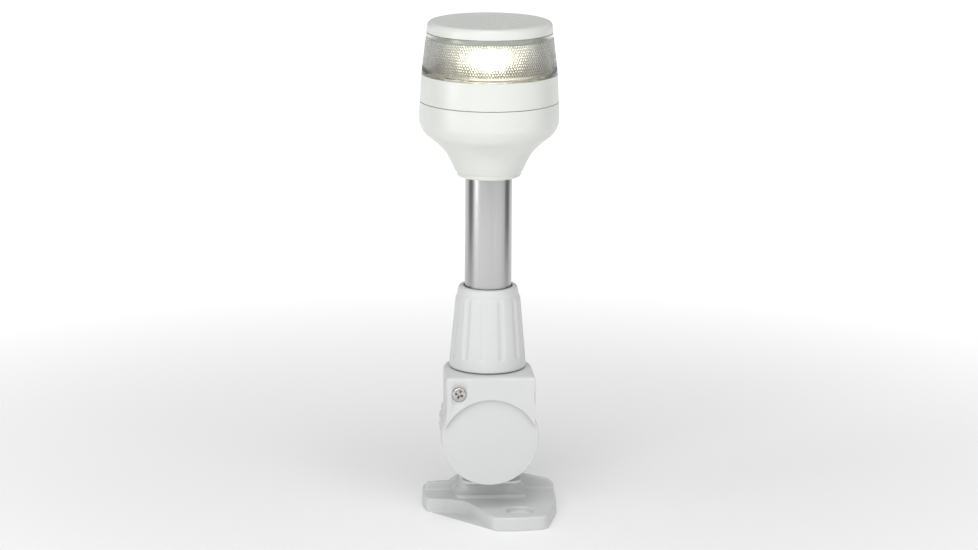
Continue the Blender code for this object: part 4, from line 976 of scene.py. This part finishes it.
class NAVLIGHT_OT_holder(bpy.types.Operator):
    """Build the pole holder, its front plate and the plate's screw"""

    bl_idname = "navlight.holder"
    bl_label = "Pole Holder"

    def execute(self, context):
        light = context.scene.navigation_light
        white = moulded_nylon(light.finishes)
        self.make_block(light.holder, white)
        self.make_plate(light.holder, white)
        self.make_screw(stainless_steel(light.finishes))
        return {"FINISHED"}

    def make_block(self, sizes, white):
        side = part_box("holder_block")[1].x
        plate_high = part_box("front_plate")[1]
        front = plate_high.y + GAP
        top = plate_high.z
        head = top - HEAD_THICKNESS
        disc_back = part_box("friction_washer")[1].y + GAP
        tongue_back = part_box("thrust_washer")[0].y - GAP
        ahead = front - 2 * sizes.top_edge
        outline = [Vector((-side, ahead)), Vector((side, ahead)), *arc(side, 0, math.pi, 72)]
        slab_bm = slab_mesh(outline, head, top, 0.0004, sizes.top_edge)
        everything = [*slab_bm.verts, *slab_bm.edges, *slab_bm.faces]
        bmesh.ops.bisect_plane(slab_bm, geom=everything, plane_co=(0, front, 0), plane_no=(0, -1, 0),
                               clear_outer=True)
        bmesh.ops.holes_fill(slab_bm, edges=[edge for edge in slab_bm.edges if edge.is_boundary])
        shapes = [finished_mesh("head", slab_bm)]
        rise = head - HINGE_HEIGHT + 0.001
        tongue = [Vector((-side, rise)), *arc(side, -math.pi, 0, 72), Vector((side, rise))]
        shapes.append(slab("tongue", tongue, -tongue_back, -disc_back, sizes.edge, sizes.edge, UPRIGHT))
        room = DISC_RADIUS + GAP
        reach = math.asin((side - SHOULDER_TIP) / room)
        arch = arc(room, math.pi / 2 - reach, math.pi / 2 + reach, 72)
        walls = [Vector((side, arch[0].y)), Vector((side, rise)), Vector((-side, rise)),
                 Vector((-side, arch[0].y)), *reversed(arch)]
        shapes.append(slab("shoulders", walls, -disc_back - 0.001, -front, 0.0001, 0.0001, UPRIGHT))
        block = moulded_together("holder_moulding", shapes, sizes.voxel, 6)
        cut(block, slab("lead_way", circle(radius_of("exit_grommet") + GAP), 0.004, side + 0.002, 0, 0,
                        towards_back(0, centre_of("exit_grommet").z)))
        cut(block, slab("bolt_way", circle(BOLT_RADIUS + GAP), disc_back - 0.002,
                        tongue_back + 0.002, 0, 0, ON_HINGE))
        cut(block, slab("pole_way", circle(radius_of("pole") + GAP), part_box("pole")[0].z - GAP,
                        top + 0.002, 0, 0))
        place(block, "mast", white, "base_nylon", "holder_block")

    def make_plate(self, sizes, white):
        """The thin plate that covers the hinge disc's rim, arched along its lower edge."""
        low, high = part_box("front_plate")
        side = high.x
        top = high.z - HINGE_HEIGHT
        half = math.asin(side / ARCH_RADIUS)
        arch = arc(ARCH_RADIUS, math.pi / 2 + half, math.pi / 2 - half, 96, (0, -ARCH_DROP))
        corner = PLATE_CORNER
        crest = []
        for point in reversed(arch):
            over = max(0.0, abs(point.x) - (side - corner))
            crest.append(Vector((point.x, top - corner + math.sqrt(max(0.0, corner**2 - over**2)))))
        thick = high.y - low.y
        plate = finished_mesh("front_plate_skin", slab_mesh(
            [*arch, *crest], -high.y, -low.y, 0.0001, 0.0004, in_strips=True), transform=UPRIGHT)
        drop = sizes.top_edge
        for vert in plate.data.vertices:
            ahead = (high.y - vert.co.y) / thick
            near = max(0.0, 1 - (high.z - vert.co.z) / drop)
            vert.co.z -= drop * near * (1 - math.sqrt(max(0.0, 1 - ahead**2)))
        middle = centre_of("plate_screw")
        at_screw = towards_back(middle.x, middle.z)
        cut(plate, slab("plate_hole", circle(SCREW_RADIUS + GAP), low.y - 0.001, high.y + 0.001, 0, 0,
                        at_screw))
        cut(plate, slab("plate_recess", circle(radius_of("plate_screw") + GAP), low.y - 0.001,
                        low.y + SCREW_SEAT, 0, 0, at_screw))
        place(plate, "mast", white, "base_nylon", "front_plate")

    def make_screw(self, steel):
        """A pan head screw with a cross recess."""
        low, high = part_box("plate_screw")
        head = radius_of("plate_screw")
        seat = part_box("front_plate")[0].y + SCREW_SEAT - GAP
        rim = seat - 0.0003
        quarter = [math.pi / 2 * step / 10 for step in range(11)]
        crown = [(head * math.sin(angle), low.y + (rim - low.y) * (1 - math.cos(angle)))
                 for angle in quarter]
        outside = rounded([(head, rim, 0), (head, seat, 0.0002), (SCREW_RADIUS, seat, 0.0002),
                           (SCREW_RADIUS, high.y - 0.002, 0.0003), (SCREW_RADIUS * 0.4, high.y, 0.0002),
                           (0, high.y, 0)], closed=False, steps=4)
        middle = centre_of("plate_screw")
        at_screw = towards_back(middle.x, middle.z)
        screw = turned("plate_screw_skin", [*crown, *outside], facets=SMALL_ROUND, closed=False,
                       transform=at_screw)
        arm = rectangle(*CROSS_ARM, 0.0003, steps=4)
        for degrees in (CROSS_TURN, CROSS_TURN + 90):
            turn = Matrix.Rotation(math.radians(degrees), 4, "Z")
            cut(screw, slab("cross_arm", arm, low.y - 0.001, low.y + CROSS_DEPTH, 0, 0,
                            at_screw @ turn))
        place(screw, "mast", steel, "stainless", "plate_screw")


class NAVLIGHT_OT_base(bpy.types.Operator):
    """Build the deck plate, its neck and ribs, and the hinge disc"""

    bl_idname = "navlight.base"
    bl_label = "Fold-Down Base"

    def execute(self, context):
        light = context.scene.navigation_light
        white = moulded_nylon(light.finishes)
        self.make_moulding(light.base, white)
        self.make_disc(light.base, white)
        return {"FINISHED"}

    def make_moulding(self, sizes, white):
        top = sizes.deck_height
        deck = slab("deck", rounded(DECK_OUTLINE, steps=14), 0.0, top, 0.0002, sizes.deck_edge)
        for (x, y), recess in DECK_HOLES:
            cut(deck, slab("recess", circle(recess, (x, y)), top - RECESS_DEPTH, top + 0.002, 0, 0))
            cut(deck, slab("screw_hole", circle(SCREW_HOLE_RADIUS, (x, y)), -0.002, top, 0, 0))
        shapes = [deck, self.make_neck(top)]
        for rib in RIBS:
            crest = [(x, top + height - HINGE_HEIGHT, radius) for x, height, radius in rib]
            buried = top - 0.001 - HINGE_HEIGHT
            outline = rounded([(rib[0][0], buried, 0), *crest, (rib[-1][0], buried, 0)])
            shapes.append(slab("rib", outline[::-1], -RIB_FRONT - RIB_THICKNESS, -RIB_FRONT,
                               0.0004, 0.0004, UPRIGHT))
        moulding = moulded_together("base_moulding", shapes, sizes.voxel, 5)
        place(moulding, "base", white, "base_nylon", "base")

    def make_neck(self, top):
        """The neck that carries the hinge disc, hollowed under it in one long fillet."""
        crown = HINGE_HEIGHT - radius_of("holder_block") - 0.001
        waist = top + NECK_WAIST
        rise = crown - waist
        left, right, front, rear = NECK_LEFT, NECK_RIGHT, NECK_FRONT, NECK_REAR
        spread = NECK_SPREAD
        sections = [
            (top + 0.0018, left - spread, right + 2 * spread, front - 2 * spread, rear + spread, 0.004),
            (top + 0.0030, left - spread / 2, right + spread, front - spread / 2, rear + spread / 2, 0.005),
            (waist, left, right, front, rear, 0.006),
            (waist + 0.4 * rise, left, right, front - 0.006, rear, 0.006),
            (waist + 0.8 * rise, left, right, DISC_FRONT + 0.004, rear, 0.005),
            (crown, left, right, DISC_FRONT + 0.002, rear, 0.005),
        ]
        foot = (top - 0.001, *sections[0][1:])
        bm = bmesh.new()
        rings = []
        for z, x0, x1, y0, y1, radius in [foot, *smooth_line(sections, 6)]:
            outline = rounded([(x0, y0, radius), (x1, y0, radius), (x1, y1, radius), (x0, y1, radius)])
            rings.append([bm.verts.new((point.x, point.y, z)) for point in outline])
        for first, second in zip(rings, rings[1:]):
            stitch(bm, first, second)
        bm.faces.new(rings[0])
        bm.faces.new(rings[-1])
        neck = finished_mesh("neck", bm)
        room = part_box("clamp_knob")[1].x + 0.0005
        disc_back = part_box("friction_washer")[0].y - GAP
        return cut(neck, slab("saddle", circle(room, facets=ROUND), disc_back - 0.0012, rear + 0.01, 0, 0,
                              ON_HINGE))

    def make_disc(self, sizes, white):
        """The plain round disc of the hinge, with the bolt's head moulded in."""
        front, back = DISC_FRONT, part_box("friction_washer")[0].y - GAP
        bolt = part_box("pivot_bolt")[0].y - GAP
        bore = BOLT_RADIUS + GAP
        bore_end = bolt + BOLT_HEAD + 2 * GAP
        pocket = half_height("pivot_bolt") + GAP
        edge = sizes.disc_edge
        profile = rounded([(0, front, 0), (DISC_RADIUS, front, edge), (DISC_RADIUS, back, edge),
                           (bore, back, 0.0003), (bore, bore_end, 0), (pocket, bore_end, 0),
                           (pocket, bolt, 0), (0, bolt, 0)], closed=False)
        disc = turned("hinge_disc", profile, closed=False, transform=ON_HINGE)
        place(disc, "base", white, "base_nylon", "base")


class NAVLIGHT_OT_knob(bpy.types.Operator):
    """Build the ribbed clamp knob behind the hinge"""

    bl_idname = "navlight.knob"
    bl_label = "Clamp Knob"

    def execute(self, context):
        light = context.scene.navigation_light
        sizes = light.knob
        low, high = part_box("clamp_knob")
        front, back = low.y, high.y
        reach = radius_of("clamp_knob")
        edge = sizes.edge
        recess = radius_of("thrust_washer") + 0.0015
        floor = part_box("knob_insert")[0].y - GAP
        pocket = half_height("knob_insert") + GAP
        insert_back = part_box("knob_insert")[1].y + GAP
        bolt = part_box("pivot_bolt")[1].y + GAP
        bore = BOLT_RADIUS + 0.0006
        dish, dish_start, dish_end = KNOB_DISH

        def ribbed(angle, radius, height):
            """The grip's wall, hollowed between the ribs and smooth towards the middle."""
            grip = GRIP_WIDTH * edge
            share = max(0.0, min(1.0, (radius - (reach - grip)) / grip))
            wave = (1 - math.cos(angle * sizes.ribs)) / 2
            return radius - sizes.rib_depth * share * (1 - math.sqrt(wave))

        walls = [(reach, back - edge + (front + 0.4 * edge - back + edge) * step / 6) for step in range(7)]
        crown = rounded([(0, back - dish, 0), (reach * dish_start, back - dish, 0.004),
                         (reach * dish_end, back, 0.003), (reach, back, edge), walls[0] + (0,)],
                        closed=False, steps=10)
        hem = rounded([(reach, front + 0.4 * edge, 0), (reach, front, 0.4 * edge), (recess, front, 0.0004),
                       (recess, floor, 0), (pocket, floor, 0), (pocket, insert_back, 0),
                       (bore, insert_back, 0), (bore, bolt, 0), (0, bolt, 0)], closed=False)
        knob = turned("clamp_knob_grip", [*crown, *walls[1:], *hem[1:]], facets=sizes.ribs * 16,
                      closed=False, shape=ribbed, transform=ON_HINGE)
        place(knob, "knob", moulded_nylon(light.finishes), "base_nylon", "clamp_knob")
        return {"FINISHED"}


class NAVLIGHT_OT_small_parts(bpy.types.Operator):
    """Finish the washers, seals, lead and inner rings"""

    bl_idname = "navlight.small_parts"
    bl_label = "Small Parts"

    def execute(self, context):
        finishes = context.scene.navigation_light.finishes
        refinish(stainless_steel(finishes), "pivot_bolt", "thrust_washer", "spring_washer")
        refinish(turned_brass(finishes), "knob_insert")
        refinish(natural_nylon(finishes), "friction_washer", "pole_ferrule", "slip_ring")
        refinish(moulded_rubber(finishes), "exit_grommet", "lamp_lead", "pole_seal")
        refinish(moulded_silicone(finishes), "bowl_seal", "lens_seal", "lid_seal")
        return {"FINISHED"}


class NAVLIGHT_OT_stage(bpy.types.Operator):
    """Build the floor, the lights and the camera"""

    bl_idname = "navlight.stage"
    bl_label = "Studio"

    def execute(self, context):
        settings = context.scene.navigation_light.stage
        self.make_floor(settings)
        self.make_room(context.scene, settings)
        self.make_light("Key light", (-0.55, -1.15, 0.9), 1.0, settings.key_power)
        self.make_light("Fill light", (0.75, -1.1, 0.8), 0.9, settings.fill_power)
        self.make_light("Top light", (0.0, -0.6, 1.5), 0.8, settings.top_power)
        self.make_light("Rim light", (-1.0, -0.45, 0.25), 0.35, settings.rim_power)
        self.make_flag("left_flag", -0.62)
        self.make_flag("right_flag", 0.62)
        self.make_camera(context.scene, settings)
        context.scene.view_settings.view_transform = "Standard"
        return {"FINISHED"}

    def make_floor(self, settings):
        """A wide painted studio floor, matt and nearly white, with a glow of its own that is weak near the
        light and full away from it.
        """
        made, tree, where = new_material("Painted floor, matt")
        away = add_node(tree, "ShaderNodeVectorMath", {"operation": "LENGTH"}, {0: where})
        # painted shade: the floor's own glow is kept low near the light, so the floor round its foot stays
        # darker like a soft shadow, and full far off so the backdrop reads white
        glow = add_node(tree, "ShaderNodeMapRange", {"interpolation_type": "SMOOTHSTEP"}, {
            "Value": away.outputs["Value"], "From Min": 0.10, "From Max": 0.9,
            "To Min": settings.floor_glow * 0.1, "To Max": settings.floor_glow})
        roller = add_node(tree, "ShaderNodeTexNoise", inputs={"Vector": where, "Scale": 1 / 0.004})
        grain = add_node(tree, "ShaderNodeBump", inputs={
            "Height": roller.outputs["Fac"], "Distance": 0.00005, "Strength": 0.2})
        finish_shader(tree, {"Base Color": (*settings.floor, 1), "Roughness": 0.75,
                             "Normal": grain.outputs["Normal"],
                             "Emission Color": (1, 1, 1, 1), "Emission Strength": glow.outputs["Result"]})
        bm = bmesh.new()
        bmesh.ops.create_grid(bm, x_segments=8, y_segments=8, size=FLOOR_HALF_WIDTH)
        floor = finished_mesh("studio_floor", bm)
        floor.data.materials.append(made)

    def make_room(self, scene, settings):
        """A white room, a touch brighter overhead than round about."""
        world = bpy.data.worlds.new("White room")
        world.use_nodes = True
        world.node_tree.nodes.clear()
        tree = world.node_tree
        where = add_node(tree, "ShaderNodeTexCoord").outputs["Generated"]
        parts = add_node(tree, "ShaderNodeSeparateXYZ", inputs={"Vector": where})
        level = add_node(tree, "ShaderNodeMapRange", inputs={
            "Value": parts.outputs["Z"], "From Min": 0.1, "From Max": 0.9,
            "To Min": settings.sky_strength, "To Max": settings.sky_strength * 1.05})
        room = add_node(tree, "ShaderNodeBackground", inputs={
            "Color": (1, 1, 1, 1), "Strength": level.outputs["Result"]})
        add_node(tree, "ShaderNodeOutputWorld", inputs={"Surface": room.outputs["Background"]})
        scene.world = world

    def make_light(self, name, spot, size, power):
        data = bpy.data.lights.new(name, "AREA")
        data.shape = "DISK"
        data.size = size
        data.energy = power
        light = bpy.data.objects.new(name, data)
        light.location = spot
        towards = Vector((0, 0, LIGHT_AIM)) - Vector(spot)
        light.rotation_euler = towards.to_track_quat("-Z", "Y").to_euler()
        light.visible_camera = False
        bpy.context.scene.collection.objects.link(light)

    def make_flag(self, name, x):
        """A dark cloth flag beside the light, which draws the edges of white and polished pieces."""
        made, tree, where = new_material("Black flag cloth")
        weave = add_node(tree, "ShaderNodeTexNoise", inputs={"Vector": where, "Scale": 1 / 0.002})
        nap = add_node(tree, "ShaderNodeBump", inputs={"Height": weave.outputs["Fac"],
                                                       "Distance": 0.0002})
        finish_shader(tree, {"Base Color": (0.02, 0.02, 0.02, 1), "Roughness": 0.9,
                             "Normal": nap.outputs["Normal"]})
        bm = bmesh.new()
        bmesh.ops.create_grid(bm, x_segments=4, y_segments=4, size=FLAG_HALF_WIDTH)
        upright = Matrix.Translation((x, 0.10, 0.20)) @ Matrix.Rotation(math.pi / 2, 4, "Y")
        flag = finished_mesh(name, bm, transform=upright)
        flag.data.materials.append(made)
        flag.visible_camera = False

    def make_camera(self, scene, settings):
        data = bpy.data.cameras.new("Camera")
        data.lens = settings.lens
        data.clip_start = 0.05
        data.clip_end = 60
        camera = bpy.data.objects.new("Camera", data)
        turn = Matrix.Rotation(settings.azimuth, 4, "Z")
        tilt = Matrix.Rotation(math.pi / 2 - settings.pitch, 4, "X")
        spot = Matrix.Translation((settings.sideways, -settings.distance, settings.height))
        camera.matrix_world = turn @ spot @ tilt @ Matrix.Rotation(settings.roll, 4, "Z")
        scene.collection.objects.link(camera)
        scene.camera = camera


PIECES = (NAVLIGHT_OT_lamp, NAVLIGHT_OT_lens, NAVLIGHT_OT_light_source, NAVLIGHT_OT_pole,
          NAVLIGHT_OT_sleeve, NAVLIGHT_OT_holder, NAVLIGHT_OT_base, NAVLIGHT_OT_knob,
          NAVLIGHT_OT_small_parts, NAVLIGHT_OT_stage)


class NAVLIGHT_PT_panel(bpy.types.Panel):
    """Lists the light's pieces and its settings"""

    bl_idname = "NAVLIGHT_PT_panel"
    bl_label = "Navigation Light"
    bl_space_type = "VIEW_3D"
    bl_region_type = "UI"
    bl_category = "Navigation Light"

    def draw(self, context):
        light = context.scene.navigation_light
        for operator in PIECES:
            self.layout.operator(operator.bl_idname)
        for group in (light.lamp, light.lens, light.sleeve, light.holder, light.base, light.knob,
                      light.finishes, light.stage):
            box = self.layout.box()
            for name in group.__annotations__:
                box.prop(group, name)


CLASSES = (LampSizes, LensSizes, SleeveSizes, HolderSizes, BaseSizes, KnobSizes, Finishes,
           StageSettings, NavigationLight, *PIECES, NAVLIGHT_PT_panel)


def register():
    for kind in CLASSES:
        bpy.utils.register_class(kind)
    bpy.types.Scene.navigation_light = PointerProperty(type=NavigationLight)


def unregister():
    del bpy.types.Scene.navigation_light
    for kind in reversed(CLASSES):
        bpy.utils.unregister_class(kind)


def main():
    register()
    for piece in PIECES:
        group, name = piece.bl_idname.split(".")
        getattr(getattr(bpy.ops, group), name)()


if __name__ == "__main__":
    main()
